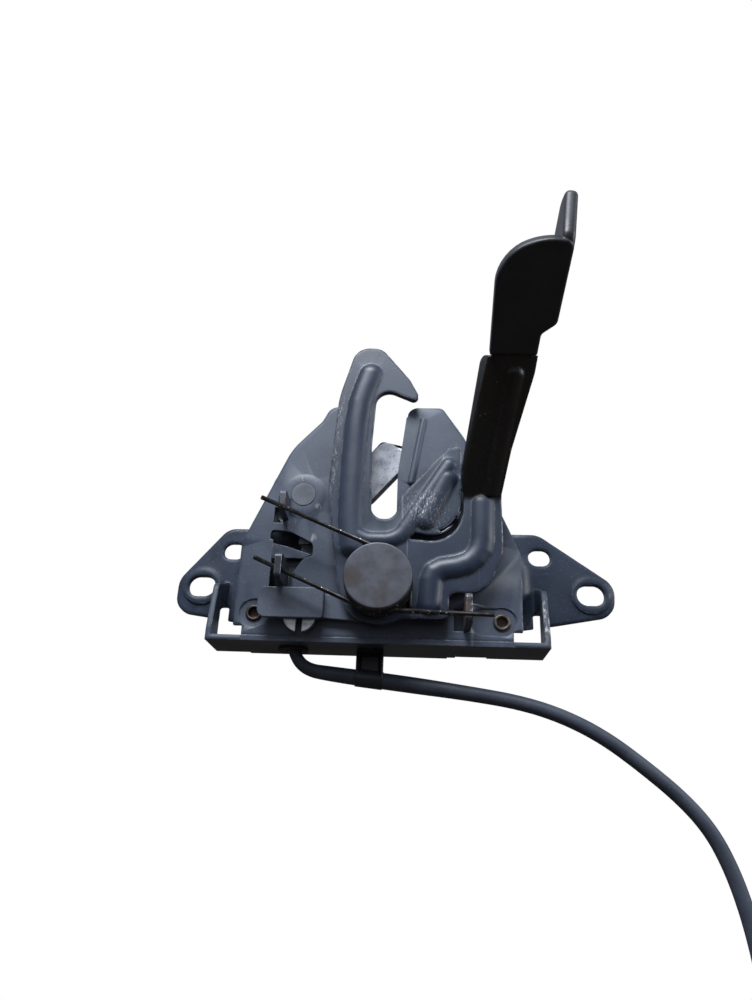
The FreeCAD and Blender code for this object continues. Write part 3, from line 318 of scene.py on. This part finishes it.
# Carrier: one stamping of 2 mm steel with the raised panel, the ears, the bottom flange and the spring lugs.
# It is dipped in a blue-black electrocoat, which has gone dull and dusty on the raised front, and is worn to
# bare steel along cut edges, round the two left lugs, on the right lug and on the right gusset. The right lug
# and the upper left one have brown stains.
carrier_coat = coated_steel("carrier_coat", (0.019, 0.029, 0.053), (0.082, 0.1, 0.142), film=0.95, wear=0.42,
                            bend=outline_bend,
                            rubs=[((-0.0315, -0.022, 0.0146), 0.0006, 0.0022, 0.5),
                                  ((-0.0300, -0.022, 0.0272), 0.0008, 0.0018, 0.44),
                                  ((-0.0366, -0.022, 0.0216), 0.0005, 0.0030, 0.6),
                                  ((0.0270, -0.0380, -0.0150), 0.0020, 0.0080, 0.50),
                                  ((0.0564, -0.0215, -0.0150), 0.0040, 0.0120, 0.54)],
                            rust=[((0.0259, -0.0300, -0.0134), 0.0110), ((-0.0410, -0.0300, 0.0250), 0.0060)])
back_plate_coat = coated_steel("back_plate_coat", (0.019, 0.026, 0.042), (0.06, 0.068, 0.085), wear=0.4)
dress("back_plate", back_plate_coat)


def new_piece(name, mesh, mat, body):
    """Finished bmesh as a piece of the latch."""
    smooth_up_to = math.radians(32)
    bmesh.ops.remove_doubles(mesh, verts=mesh.verts, dist=weld_distance)
    bmesh.ops.recalc_face_normals(mesh, faces=mesh.faces)
    data = bpy.data.meshes.new(name)
    mesh.to_mesh(data)
    mesh.free()
    data.materials.append(mat)
    data.shade_smooth()
    data.set_sharp_from_angle(angle=smooth_up_to)
    piece = bpy.data.objects.new(name, data)
    bpy.context.collection.objects.link(piece)
    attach(piece, body)
    return piece


def beveled_block(low, high, edge):
    """Block between two corners, with all its edges rounded."""
    mesh = bmesh.new()
    bmesh.ops.create_cube(mesh, size=1.0)
    low, high = Vector(low), Vector(high)
    bmesh.ops.scale(mesh, verts=mesh.verts, vec=high - low)
    bmesh.ops.translate(mesh, verts=mesh.verts, vec=(low + high) / 2)
    bmesh.ops.bevel(mesh, geom=mesh.edges[:], offset=edge, segments=3, profile=0.5, affect="EDGES",
                    material=-1)
    return mesh


def front_prism(outline, front, rear):
    """Plate from (x, z, corner cut) points in millimetres, each corner rounded over its cut."""
    mesh = bmesh.new()
    verts = [mesh.verts.new((x / 1000, front, z / 1000)) for x, z, cut in outline]
    mesh.faces.new(verts)
    for corner, (x, z, cut) in zip(verts, outline):
        if cut:
            bmesh.ops.bevel(mesh, geom=[corner], offset=cut / 1000, segments=8, profile=0.5,
                            affect="VERTICES", material=-1)
    drawn = bmesh.ops.extrude_face_region(mesh, geom=mesh.faces[:])["geom"]
    moved = [part for part in drawn if isinstance(part, bmesh.types.BMVert)]
    bmesh.ops.translate(mesh, verts=moved, vec=(0, rear - front, 0))
    bmesh.ops.recalc_face_normals(mesh, faces=mesh.faces)
    return mesh


def pressed_rib(start, end, width, height, face):
    """Crest of a pressed bead between two (x, z) places in millimetres, standing out of the sheet's face."""
    radius = (width * width / 4 + height * height) / (2 * height)
    depth = face + radius - height
    start, end = (Vector((x, depth, z)) / 1000 for x, z in (start, end))
    mesh = bmesh.new()
    bmesh.ops.create_uvsphere(mesh, u_segments=96, v_segments=64, radius=radius / 1000)
    far = [v for v in mesh.verts if v.co.z > 1e-7]
    bmesh.ops.translate(mesh, verts=far, vec=(0, 0, (end - start).length))
    turned = (end - start).to_track_quat("Z", "Y").to_matrix()
    bmesh.ops.rotate(mesh, verts=mesh.verts, cent=(0, 0, 0), matrix=turned)
    bmesh.ops.translate(mesh, verts=mesh.verts, vec=start)
    cut = bmesh.ops.bisect_plane(mesh, geom=mesh.verts[:] + mesh.edges[:] + mesh.faces[:], clear_outer=True,
                                 plane_co=(0, (face + 1.0) / 1000, 0), plane_no=(0, 1, 0))
    rim = [part for part in cut["geom_cut"] if isinstance(part, bmesh.types.BMEdge)]
    bmesh.ops.edgeloop_fill(mesh, edges=rim)
    bmesh.ops.recalc_face_normals(mesh, faces=mesh.faces)
    return mesh


def joined_with(piece, mesh, operation):
    """Weld a form to a piece, or cut it out, and leave the plain mesh."""
    data = bpy.data.meshes.new("form")
    mesh.to_mesh(data)
    mesh.free()
    form = bpy.data.objects.new("form", data)
    bpy.context.collection.objects.link(form)
    step = piece.modifiers.new("step", "BOOLEAN")
    step.operation = operation
    step.solver = "MANIFOLD"
    step.object = form
    bpy.context.view_layer.update()
    result = bpy.data.meshes.new_from_object(piece.evaluated_get(bpy.context.evaluated_depsgraph_get()))
    piece.modifiers.clear()
    piece.data = result
    bpy.data.objects.remove(form)


def node_copy(node, name, mat, body):
    """Copy of a CAD node with its triangles joined, to be worked further."""
    mesh = bmesh.new()
    mesh.from_mesh(bpy.data.objects[node].data)
    piece = new_piece(name, mesh, mat, body)
    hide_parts(node)
    return piece


def finish_shading(piece):
    """Smooth the curved faces of a worked piece, and keep its flat faces flat."""
    smooth_up_to = math.radians(24)
    piece.data.shade_smooth()
    piece.data.set_sharp_from_angle(angle=smooth_up_to)
    weighted = piece.modifiers.new("weighted", "WEIGHTED_NORMAL")
    weighted.weight = 100
    weighted.keep_sharp = True


# The back plate's right foot runs on behind the opening that the right lug is cut from: a dark slab in the
# back plate's coat, put there as painted shade so that the opening shows dark.
shade_backing_slab = beveled_block((0.0205, -0.0200, -0.0212), (0.0370, -0.0182, -0.0080), 0.0003)
new_piece("back_plate_foot", shade_backing_slab, back_plate_coat, "frame")


def carrier_stamping(mat):
    """Carrier with slim gussets, a long sunk seat at the right rivet and rounded corners on the tower."""
    piece = node_copy("base_plate", "carrier_stamping", mat, "frame")
    clear_of_front = -0.0235
    seat_floor = -0.0215
    behind_panel = -0.0180
    trim_width = 0.0040
    for left in (-0.0692, 0.0544):
        low = (left, -0.0120, -0.0240)
        high = (left + trim_width, 0.0020, -0.0082)
        joined_with(piece, beveled_block(low, high, 0.0012), "DIFFERENCE")
    seat = [(28.8, -22.0, 4.6), (45.0, -22.0, 4.6), (45.0, -11.9, 4.6), (28.8, -11.9, 4.6)]
    joined_with(piece, front_prism(seat, clear_of_front, seat_floor), "DIFFERENCE")
    corner = [(3.0, 73.0, 0), (3.0, 67.6, 0), (4.1, 67.6, 0), (4.1, 72.0, 4.2), (8.5, 72.0, 0),
              (8.5, 73.0, 0)]
    joined_with(piece, front_prism(corner, clear_of_front, behind_panel), "DIFFERENCE")
    finish_shading(piece)


carrier_stamping(carrier_coat)


# Tubular rivets: two short plated tubes rolled over at both ends, which hold the back plate's feet.
# Their rims have turned brown.
def bare_metal(name, light, dark, rough, metallic=0.85, cloud_scale=120.0, speckle=0.25, grime=0.0,
               bump_strength=0.2, turned=None):
    """Metal without a coat: two tones, speckles, and turning marks about an axis along Y if it was turned."""
    grime_brown = (0.06, 0.045, 0.035)
    mat, tree, shader, place = start_material(name)
    uneven = group_in(tree, unevenness, Place=place, Cloud_Scale=cloud_scale)
    edges = group_in(tree, edge_wear, Place=place, Width=0.0004, Amount=0.8)
    colour = blended(tree, uneven["Cloud"], dark, light)
    colour = blended(tree, math_of(tree, "MULTIPLY", uneven["Speckle"], speckle), colour,
                     tuple(c * 0.35 for c in dark))
    if grime:
        soil = stepped(tree, noise_of(tree, place, 70.0, detail=4.0), 0.5, 0.68)
        colour = blended(tree, math_of(tree, "MULTIPLY", soil, grime), colour, grime_brown)
    colour = blended(tree, math_of(tree, "MULTIPLY", edges["Mask"], 0.6), colour,
                     tuple(min(1.0, c * 1.8) for c in light))
    height = uneven["Height"]
    if turned:
        centred = add_node(tree, "ShaderNodeMapping", {"vector_type": "POINT"}, Vector=place,
                           Location=tuple(-c for c in turned)).outputs[0]
        rings = add_node(tree, "ShaderNodeTexWave", {"wave_type": "RINGS", "rings_direction": "Y"},
                         Vector=centred, Scale=900.0, Distortion=1.5, Detail=1.0).outputs["Fac"]
        height = blended(tree, 0.5, height, rings)
    feed(tree, shader.inputs["Base Color"], colour)
    feed(tree, shader.inputs["Roughness"], blended(tree, uneven["Cloud"], rough + 0.08, rough))
    shader.inputs["Metallic"].default_value = metallic
    bump = add_node(tree, "ShaderNodeBump", Strength=bump_strength, Distance=0.0001, Height=height,
                    Normal=edges["Soft Normal"])
    feed(tree, shader.inputs["Normal"], bump.outputs[0])
    return mat


def rolled_eyelet(node, x, z, rim_radius, mat):
    """Tubular rivet turned as one profile: rolled rim, blind bore, shank and the tail behind the foot."""
    front = -0.0223
    foot_rear = -0.0180
    tail_end = -0.0172
    bore = 0.0019
    shank = 0.0027
    tail = 0.0039
    profile = [(0.0, front + 0.0028), (bore, front + 0.0024), (bore, front + 0.0004), (bore + 0.0003, front),
               (rim_radius - 0.0005, front), (rim_radius, front + 0.0004), (rim_radius, front + 0.0008),
               (shank, front + 0.0008), (shank, foot_rear), (tail, foot_rear), (tail, tail_end),
               (0.0, tail_end)]
    mesh = bmesh.new()
    verts = [mesh.verts.new((x + radius, y, z)) for radius, y in profile]
    edges = [mesh.edges.new(pair) for pair in zip(verts, verts[1:])]
    bmesh.ops.spin(mesh, geom=verts + edges, cent=(x, 0, z), axis=(0, 1, 0), angle=2 * math.pi, steps=64,
                   use_merge=True)
    piece = new_piece(node + "_tube", mesh, mat, "frame")
    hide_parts(node)


eyelet_metal = bare_metal("eyelet_metal", (0.17, 0.14, 0.12), (0.06, 0.045, 0.038), 0.4, grime=0.6)
rolled_eyelet("eyelet_left", -0.0510, -0.0156, 0.0031, eyelet_metal)
rolled_eyelet("eyelet_right", 0.0401, -0.0169, 0.0032, eyelet_metal)


# Claw: forged steel, blasted to a speckled grey, on a plastic bush and a flush rivet in the round boss.
# Its pin works the switch, and a thin wire spring turns it back to open.
claw_metal = bare_metal("claw_metal", (0.44, 0.455, 0.5), (0.27, 0.28, 0.32), 0.55, metallic=0.35,
                        cloud_scale=190.0, speckle=1.0, bump_strength=0.5)
dress("claw", claw_metal)
pin_metal = bare_metal("pin_metal", (0.4, 0.39, 0.37), (0.26, 0.25, 0.24), 0.35)
dress("claw_pin", pin_metal)
dress("claw_rivet", bare_metal("claw_rivet_metal", (0.15, 0.16, 0.185), (0.09, 0.1, 0.12), 0.5, metallic=0.3,
                               grime=0.3, turned=claw_pivot))


def moulded_plastic(name, colour, rough, grain=2200.0, haze=(0.06, 0.065, 0.075), haze_amount=0.25,
                    bump=0.25):
    """Moulded plastic or rubber: fine grain, hazy patches, paler scuffed corners."""
    mat, tree, shader, place = start_material(name)
    uneven = group_in(tree, unevenness, Place=place, Cloud_Scale=90.0, Peel_Scale=grain)
    edges = group_in(tree, edge_wear, Place=place, Width=0.0005, Amount=0.5)
    tone = blended(tree, math_of(tree, "MULTIPLY", uneven["Cloud"], haze_amount), colour, haze)
    tone = blended(tree, math_of(tree, "MULTIPLY", edges["Mask"], 0.5), tone, tuple(c * 1.6 for c in haze))
    feed(tree, shader.inputs["Base Color"], tone)
    feed(tree, shader.inputs["Roughness"], blended(tree, uneven["Cloud"], rough, rough + 0.12))
    node = add_node(tree, "ShaderNodeBump", Strength=bump, Distance=0.0001, Height=uneven["Height"],
                    Normal=edges["Soft Normal"])
    feed(tree, shader.inputs["Normal"], node.outputs[0])
    return mat


bush_plastic = moulded_plastic("bush_plastic", (0.09, 0.09, 0.085), 0.45)
dress("claw_bush", bush_plastic)


def spring_wire(name, bright_level):
    """Oiled dark wire, scratched bright in streaks."""
    oiled = (0.016, 0.015, 0.016)
    oiled_pale = (0.05, 0.048, 0.048)
    scratched = (0.52, 0.51, 0.5)
    mat, tree, shader, place = start_material(name)
    uneven = group_in(tree, unevenness, Place=place, Cloud_Scale=260.0)
    streaks = stepped(tree, noise_of(tree, place, 700.0, detail=4.0), bright_level, bright_level + 0.08)
    colour = blended(tree, uneven["Cloud"], oiled, oiled_pale)
    feed(tree, shader.inputs["Base Color"], blended(tree, streaks, colour, scratched))
    feed(tree, shader.inputs["Roughness"], blended(tree, streaks, 0.36, 0.3))
    shader.inputs["Metallic"].default_value = 0.7
    bump = add_node(tree, "ShaderNodeBump", Strength=0.3, Distance=0.0001, Height=uneven["Height"])
    feed(tree, shader.inputs["Normal"], bump.outputs[0])
    return mat


def sprung(node, mat):
    """Spring wire: a welded copy of the node in its own finish, shown in the node's place."""
    data = bpy.data.objects[node].data.copy()
    mesh = bmesh.new()
    mesh.from_mesh(data)
    bmesh.ops.remove_doubles(mesh, verts=mesh.verts, dist=weld_distance)
    mesh.to_mesh(data)
    mesh.free()
    data.materials.clear()
    data.materials.append(mat)
    data.shade_smooth()
    piece = bpy.data.objects.new(node + "_wire", data)
    bpy.context.collection.objects.link(piece)
    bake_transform(piece)
    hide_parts(node)


oiled_wire = spring_wire("oiled_wire", 0.63)
# The claw spring has less than one turn, so it twists across its coil's lower right, past the fixed leg.
sprung("claw_spring", spring_wire("bright_wire", 0.52))

# Pawl: 4 mm plate behind the panel, joined by a sleeve to the release lever in front of it.
# The lever is a pressed strip with a raised pad, and a turned zinc barrel behind the pad takes the cable end.
pawl_coat = coated_steel("pawl_coat", (0.016, 0.022, 0.034), (0.045, 0.052, 0.068), film=0.5, wear=0.55)
dress("pawl", pawl_coat)
dress("pawl_sleeve", pin_metal)
lever_coat = coated_steel("lever_coat", (0.05, 0.061, 0.088), (0.115, 0.133, 0.178), film=0.9, wear=0.3)
dress("release_lever", lever_coat)
zinc = bare_metal("zinc", (0.62, 0.62, 0.64), (0.36, 0.36, 0.38), 0.26, cloud_scale=240.0, speckle=0.4,
                  turned=(-0.0334, 0, -0.0174))
barrel = node_copy("cable_anchor", "anchor_barrel", zinc, "pawl")
wire_slot = beveled_block((-0.0346, -0.0290, -0.0260), (-0.0322, -0.0210, -0.0180), 0.0008)
joined_with(barrel, wire_slot, "DIFFERENCE")
finish_shading(barrel)


# Hook lever: one stamping of 2.6 mm steel, with the safety hook, two arms round the striker slot and the
# handle's arm, stiffened by pressed beads. The coat is worn bare along the hook's left margin and is
# scratched on the right arm. The handle's arm is coloured near black as painted shade.
def hook_margin(tree, place, split):
    """Scuffed strip along the hook's left edge, and the fine scratches on the right arm."""
    lean = -0.05
    strip_inside, strip_outside = -0.0240, -0.0264
    foot_clear, foot_full = 0.020, 0.034
    top_clear, top_full = 0.082, 0.066
    strip_strength = 0.6
    scratched_centre = (0.0115, -0.0285, 0.0245)
    along_strip = ((1.0, 1.0, 0.5), (0, 0, 0))
    along_scratch = ((1.0, 1.0, 0.3), (0, 0.55, 0))
    across = add_node(tree, "ShaderNodeMath", {"operation": "MULTIPLY_ADD"},
                      _0=split["Z"], _1=lean, _2=split["X"]).outputs[0]
    strip = stepped(tree, across, strip_inside, strip_outside)
    strip = math_of(tree, "MULTIPLY", strip, stepped(tree, split["Z"], foot_clear, foot_full))
    strip = math_of(tree, "MULTIPLY", strip, stepped(tree, split["Z"], top_clear, top_full))
    grain = noise_of(tree, place, 900.0, detail=6.0, stretch=along_strip, roughness=0.7)
    strip = math_of(tree, "MULTIPLY", strip, stepped(tree, grain, 0.47, 0.64))
    strip = math_of(tree, "MULTIPLY", strip, strip_strength)
    arm = near_point(tree, place, scratched_centre, 0.003, 0.0125)
    fine = noise_of(tree, place, 2600.0, detail=3.0, stretch=along_scratch)
    scratched = math_of(tree, "MULTIPLY", arm, stepped(tree, fine, 0.58, 0.63))
    return math_of(tree, "MAXIMUM", strip, scratched)


hook_coat = coated_steel("hook_coat", (0.014, 0.022, 0.042), (0.035, 0.048, 0.08), film=0.9, wear=0.5,
                         wear_width=0.0008, gloss=0.27, worn_margin=hook_margin, bend_radius=0.0015,
                         # Painted shade on the handle's arm, in a near-black brown.
                         arm_shade_colour=(0.012, 0.0105, 0.0095),
                         # Painted shade: a patch on the handle plate keeps less dust.
                         painted_shade_patches=[((0.0260, -0.0300, 0.0040), 0.012, 0.026)])


def hook_stamping(mat):
    """Hook lever with its thin crescent notch and its broad beads."""
    piece = node_copy("hook_lever", "hook_stamping", mat, "hook")
    front = -0.02775
    rear = -0.02515
    play = 0.001
    bead_height = 2.0
    plug = [(4.4, 10.6, 0), (22.6, 8.4, 0), (27.2, 19.0, 0), (27.2, 24.0, 0), (24.2, 24.0, 0),
            (23.4, 19.6, 0), (18.0, 15.8, 0), (8.4, 18.6, 0)]
    joined_with(piece, front_prism(plug, front, rear), "UNION")
    notch = [(8.0, 15.4, 0.3), (5.2, 12.6, 1.6), (22.6, 11.0, 10.0), (26.2, 24.0, 1.2), (26.2, 25.0, 0),
             (25.2, 25.0, 0), (25.2, 23.2, 2.0), (18.6, 13.4, 5.6)]
    joined_with(piece, front_prism(notch, front - play, rear + play), "DIFFERENCE")
    handle_bend = [(33.5, 27.4), (33.1, 13.0), (32.4, 9.2), (30.5, 5.9), (27.6, 3.5), (24.0, 2.2),
                   (18.2, 1.1), (15.4, -0.5), (14.1, -3.5), (13.4, -12.4)]
    hook_run = [(-11.4, 84.6), (-13.4, 78.0), (-15.2, 71.0), (-16.2, 61.0), (-16.7, 46.0), (-16.9, 32.0),
                (-16.8, 20.0), (-15.4, 9.0)]
    right_arm = [(11.6, 20.6), (19.8, 37.6)]
    for path, width in ((handle_bend, 8.8), (hook_run, 9.6), (right_arm, 8.8)):
        for start, end in zip(path, path[1:]):
            joined_with(piece, pressed_rib(start, end, width, bead_height, front * 1000), "UNION")
    finish_shading(piece)


hook_stamping(hook_coat)

# Grip: a finger pad of black plastic moulded over the end of the arm, with a wing along its right edge.
grip_plastic = moulded_plastic("grip_plastic", (0.016, 0.016, 0.02), 0.36, grain=1600.0,
                               haze=(0.042, 0.044, 0.062), haze_amount=0.35, bump=0.12)


def rounded_plate(outline, front, rear, edge):
    """Plate whose two rims are rounded off."""
    mesh = front_prism(outline, front, rear)
    rims = [e for e in mesh.edges if abs(e.verts[0].co.y - e.verts[1].co.y) < 1e-7]
    bmesh.ops.bevel(mesh, geom=rims, offset=edge, segments=4, profile=0.5, affect="EDGES", material=-1)
    return mesh


def finger_grip(mat):
    """Pad and wing in one moulding, drawn upright at the pad's foot and carried to the end of the arm."""
    pad = [(33.8, 0.6, 1.0), (33.8, 38.2, 10.6), (49.5, 43.6, 4.3), (59.3, 42.6, 3.0), (56.8, 13.0, 1.3),
           (51.6, 9.0, 0.9), (51.0, 0.6, 1.0)]
    moulding = rounded_plate(pad, -0.0013, 0.0039, 0.0013)
    piece = new_piece("finger_grip", moulding, mat, "hook")
    profile = [(-1.3, 13.0, 3.9), (-1.3, 43.2, 3.5), (18.0, 54.0, 2.2), (26.0, 48.0, 3.2), (25.0, 31.0, 3.3),
               (8.0, 13.0, 3.0)]
    wing = rounded_plate(profile, -0.0592, -0.0546, 0.0018)
    pad_corner = Vector((0.0592, -0.0013, 0.0426))
    origin = Vector((0, 0, 0))
    for centre, degrees, axis in ((origin, 90, "Z"), (pad_corner, -4.5, "Z"), (pad_corner, 4.8, "Y")):
        turned = Matrix.Rotation(math.radians(degrees), 3, axis)
        bmesh.ops.rotate(wing, verts=wing.verts, cent=centre, matrix=turned)
    joined_with(piece, wing, "UNION")
    arm_foot = Matrix.Translation((0, -0.03175, 0.0285))
    arm_lean = Matrix.Rotation(math.radians(37), 4, "X")
    arm_end = Matrix.Translation((0, 0.0040, 0.0516))
    pad_lean = Matrix.Rotation(math.radians(23), 4, "X")
    piece.data.transform(arm_foot @ arm_lean @ arm_end @ pad_lean)
    finish_shading(piece)
    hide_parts("lever_grip")


finger_grip(grip_plastic)

# Centre pivot: a broad flat-headed rivet, with a drum under its head that the two coil springs sit on
# and a washer between the sleeve and the hook lever.
rivet_metal = bare_metal("rivet_metal", (0.125, 0.13, 0.155), (0.072, 0.073, 0.086), 0.42, metallic=0.5,
                         cloud_scale=150.0, grime=0.6, turned=centre_pivot, bump_strength=0.14)
dress("center_rivet", rivet_metal)
dress("spring_spacer", bush_plastic)
dress("pivot_washer", pin_metal)
sprung("hook_spring", oiled_wire)
sprung("pawl_spring", oiled_wire)

# Hood switch: sealed plastic box, held on the back plate by two cross-head screws. The claw's pin works its
# button.
switch_plastic = moulded_plastic("switch_plastic", (0.02, 0.02, 0.022), 0.42)
dress("switch_housing", switch_plastic)
dress("switch_plunger", bush_plastic)
dress("switch_screws", pin_metal)

# Switch lead: two cores in a soft dark sleeve that is shrunk on in two lengths, one each side of the clip.
# It comes out through a rubber gland in the flange, and hangs away to the right to its two-way plug.
dress("flange_gland", moulded_plastic("gland_rubber", (0.018, 0.018, 0.019), 0.6))


def clip_body(mat):
    """Clip plugged into the flange: two cheeks with a web behind, and a thin band under the lead."""
    left = -0.0130
    right = -0.0030
    front = -0.0132
    rear = -0.0068
    cheek = 0.0014
    band_radius = 0.0033
    mesh = beveled_block((left, front, -0.0372), (right, rear, -0.0262), 0.0004)
    faces = [f for f in mesh.faces if f.normal.y < -0.99 and f.calc_area() > 2e-5]
    bmesh.ops.inset_region(mesh, faces=faces, thickness=cheek, use_even_offset=True)
    bmesh.ops.translate(mesh, verts=list({v for f in faces for v in f.verts}), vec=(0, 0.0048, 0))
    band_mesh = bmesh.new()
    bmesh.ops.create_cone(band_mesh, cap_ends=True, segments=48, radius1=band_radius, radius2=band_radius,
                          depth=right - left)
    lead_way = Vector((0.0260, 0.0, -0.0027)).normalized()
    turned = lead_way.to_track_quat("Z", "Y").to_matrix()
    bmesh.ops.rotate(band_mesh, verts=band_mesh.verts, cent=(0, 0, 0), matrix=turned)
    bmesh.ops.translate(band_mesh, verts=band_mesh.verts, vec=(-0.0080, -0.0100, -0.03655))
    band = bpy.data.meshes.new("band")
    band_mesh.to_mesh(band)
    band_mesh.free()
    mesh.from_mesh(band)
    piece = new_piece("clip_body", mesh, mat, "frame")
    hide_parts("lead_clip")


clip_body(moulded_plastic("clip_plastic", (0.02, 0.02, 0.026), 0.3, haze=(0.05, 0.05, 0.07)))
dress("lead_connector", switch_plastic)
dress("lead_terminals", bare_metal("tin", (0.62, 0.6, 0.56), (0.42, 0.41, 0.38), 0.3))
lead_route = [
    (-0.0252, -0.0054, 0.0350), (-0.0252, -0.0054, 0.0150), (-0.0310, -0.0050, -0.0030),
    (-0.0376, -0.0076, -0.0170), (-0.0376, -0.0100, -0.0260), (-0.0326, -0.0100, -0.0336),
    (-0.0210, -0.0100, -0.0352), (0.0050, -0.0100, -0.0379), (0.0280, -0.0110, -0.0407),
    (0.0470, -0.0116, -0.0435), (0.0620, -0.0120, -0.0479), (0.0760, -0.0120, -0.0547),
    (0.0890, -0.0120, -0.0642), (0.1008, -0.0116, -0.0739), (0.1094, -0.0110, -0.0836),
    (0.1150, -0.0100, -0.0952), (0.1186, -0.0100, -0.1090), (0.1208, -0.0100, -0.1250),
    (0.1216, -0.0100, -0.1430), (0.1212, -0.0100, -0.1630), (0.1200, -0.0100, -0.1840),
    (0.1184, -0.0100, -0.2060)]
lead_diameter = 0.0052
lead_fullness = [0.85] * 5 + [0.92, 1.1, 1.18, 1.03] + [1.0] * (len(lead_route) - 9)
curve = bpy.data.curves.new("lead_sleeve", "CURVE")
curve.dimensions = "3D"
spline = curve.splines.new("NURBS")
spline.points.add(len(lead_route) - 1)
for point, place, fullness in zip(spline.points, lead_route, lead_fullness):
    point.co = (*place, 1)
    point.radius = fullness
spline.order_u = 3
spline.use_endpoint_u = True
curve.bevel_depth = lead_diameter / 2
curve.bevel_resolution = 8
curve.resolution_u = 12
lead_sleeve = bpy.data.objects.new("lead_sleeve", curve)
bpy.context.collection.objects.link(lead_sleeve)


def sleeve_material():
    """Soft sleeve: dark blue-grey, matt, faintly wrinkled, with a dusty bloom."""
    clean = (0.034, 0.044, 0.066)
    bloom = (0.061, 0.073, 0.104)
    dust_specks = (0.16, 0.165, 0.17)
    mat, tree, shader, place = start_material("soft_sleeve")
    uneven = group_in(tree, unevenness, Place=place, Cloud_Scale=70.0, Peel_Scale=1400.0)
    colour = blended(tree, uneven["Cloud"], clean, bloom)
    specks = math_of(tree, "MULTIPLY", uneven["Speckle"], 0.3)
    feed(tree, shader.inputs["Base Color"], blended(tree, specks, colour, dust_specks))
    feed(tree, shader.inputs["Roughness"], blended(tree, uneven["Cloud"], 0.5, 0.62))
    bump = add_node(tree, "ShaderNodeBump", Strength=0.35, Distance=0.0002, Height=uneven["Height"])
    feed(tree, shader.inputs["Normal"], bump.outputs[0])
    return mat


curve.materials.append(sleeve_material())
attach(lead_sleeve, "frame")
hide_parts("switch_lead")


# Camera at the picture's angle, below the latch and looking slightly up, and a pale studio with soft light
# from above and in front. Rays that don't come from the camera see a room that is dark below.
camera_data = bpy.data.cameras.new("camera")
camera_data.lens = 28.08
camera_data.sensor_width = 36
camera = bpy.data.objects.new("camera", camera_data)
camera_place = (0.0082, -0.3009, -0.0902)
camera_right = Vector((0.9985, 0.0399, 0.0375))
camera_up = Vector((-0.0185, -0.3983, 0.9171))
camera_back = -Vector((-0.0516, 0.9164, 0.3969))
turn = Matrix((camera_right, camera_up, camera_back)).transposed().to_4x4()
camera.matrix_world = Matrix.Translation(camera_place) @ turn
bpy.context.collection.objects.link(camera)
bpy.context.scene.camera = camera
bpy.context.scene.view_settings.view_transform = "Standard"


def room_light():
    """World: plain white to the camera, and for other rays pale above and dark below."""
    dark_below = (0.05, 0.041, 0.034)
    pale_above = (0.31, 0.34, 0.385)
    world = bpy.data.worlds.new("room")
    world.use_nodes = True
    tree = world.node_tree
    way = tree.nodes.new("ShaderNodeTexCoord").outputs["Generated"]
    up = add_node(tree, "ShaderNodeSeparateXYZ", Vector=way)
    height = stepped(tree, up.outputs["Z"], -0.25, 0.45)
    room = blended(tree, height, dark_below, pale_above)
    rays = tree.nodes.new("ShaderNodeLightPath")
    feed(tree, tree.nodes["Background"].inputs["Color"],
         blended(tree, rays.outputs["Is Camera Ray"], room, (1.0, 1.0, 1.0)))
    return world


bpy.context.scene.world = room_light()


def soft_box(name, place, aim, width, height, power, colour):
    """Broad lamp turned towards a point."""
    light = bpy.data.lights.new(name, "AREA")
    light.shape = "RECTANGLE"
    light.size = width
    light.size_y = height
    light.energy = power
    light.color = colour
    lamp = bpy.data.objects.new(name, light)
    lamp.location = place
    lamp.rotation_euler = (Vector(aim) - Vector(place)).to_track_quat("-Z", "Y").to_euler()
    bpy.context.collection.objects.link(lamp)


soft_box("key", place=(-0.12, -0.45, 0.62), aim=(0, 0, 0.02), width=0.45, height=0.25, power=7.4,
         colour=(0.89, 0.945, 1.0))
soft_box("side", place=(0.75, -0.30, 0.30), aim=(0, 0, 0.0), width=0.4, height=0.5, power=2.6,
         colour=(0.95, 0.97, 1.0))


def studio_floor():
    """Pale round floor under the latch, darker to rays that don't come from the camera."""
    dark_room = (0.06, 0.05, 0.042)
    pale_paint = (0.86, 0.86, 0.86)
    centre = (0.02, 0.0, -0.246)
    mesh = bmesh.new()
    bmesh.ops.create_circle(mesh, cap_ends=True, segments=96, radius=0.5)
    bmesh.ops.translate(mesh, verts=mesh.verts, vec=centre)
    data = bpy.data.meshes.new("floor")
    mesh.to_mesh(data)
    mesh.free()
    floor = bpy.data.objects.new("floor", data)
    bpy.context.collection.objects.link(floor)
    mat, tree, shader, place = start_material("floor_paint")
    rays = tree.nodes.new("ShaderNodeLightPath")
    feed(tree, shader.inputs["Base Color"],
         blended(tree, rays.outputs["Is Camera Ray"], dark_room, pale_paint))
    shader.inputs["Roughness"].default_value = 0.9
    data.materials.append(mat)


studio_floor()
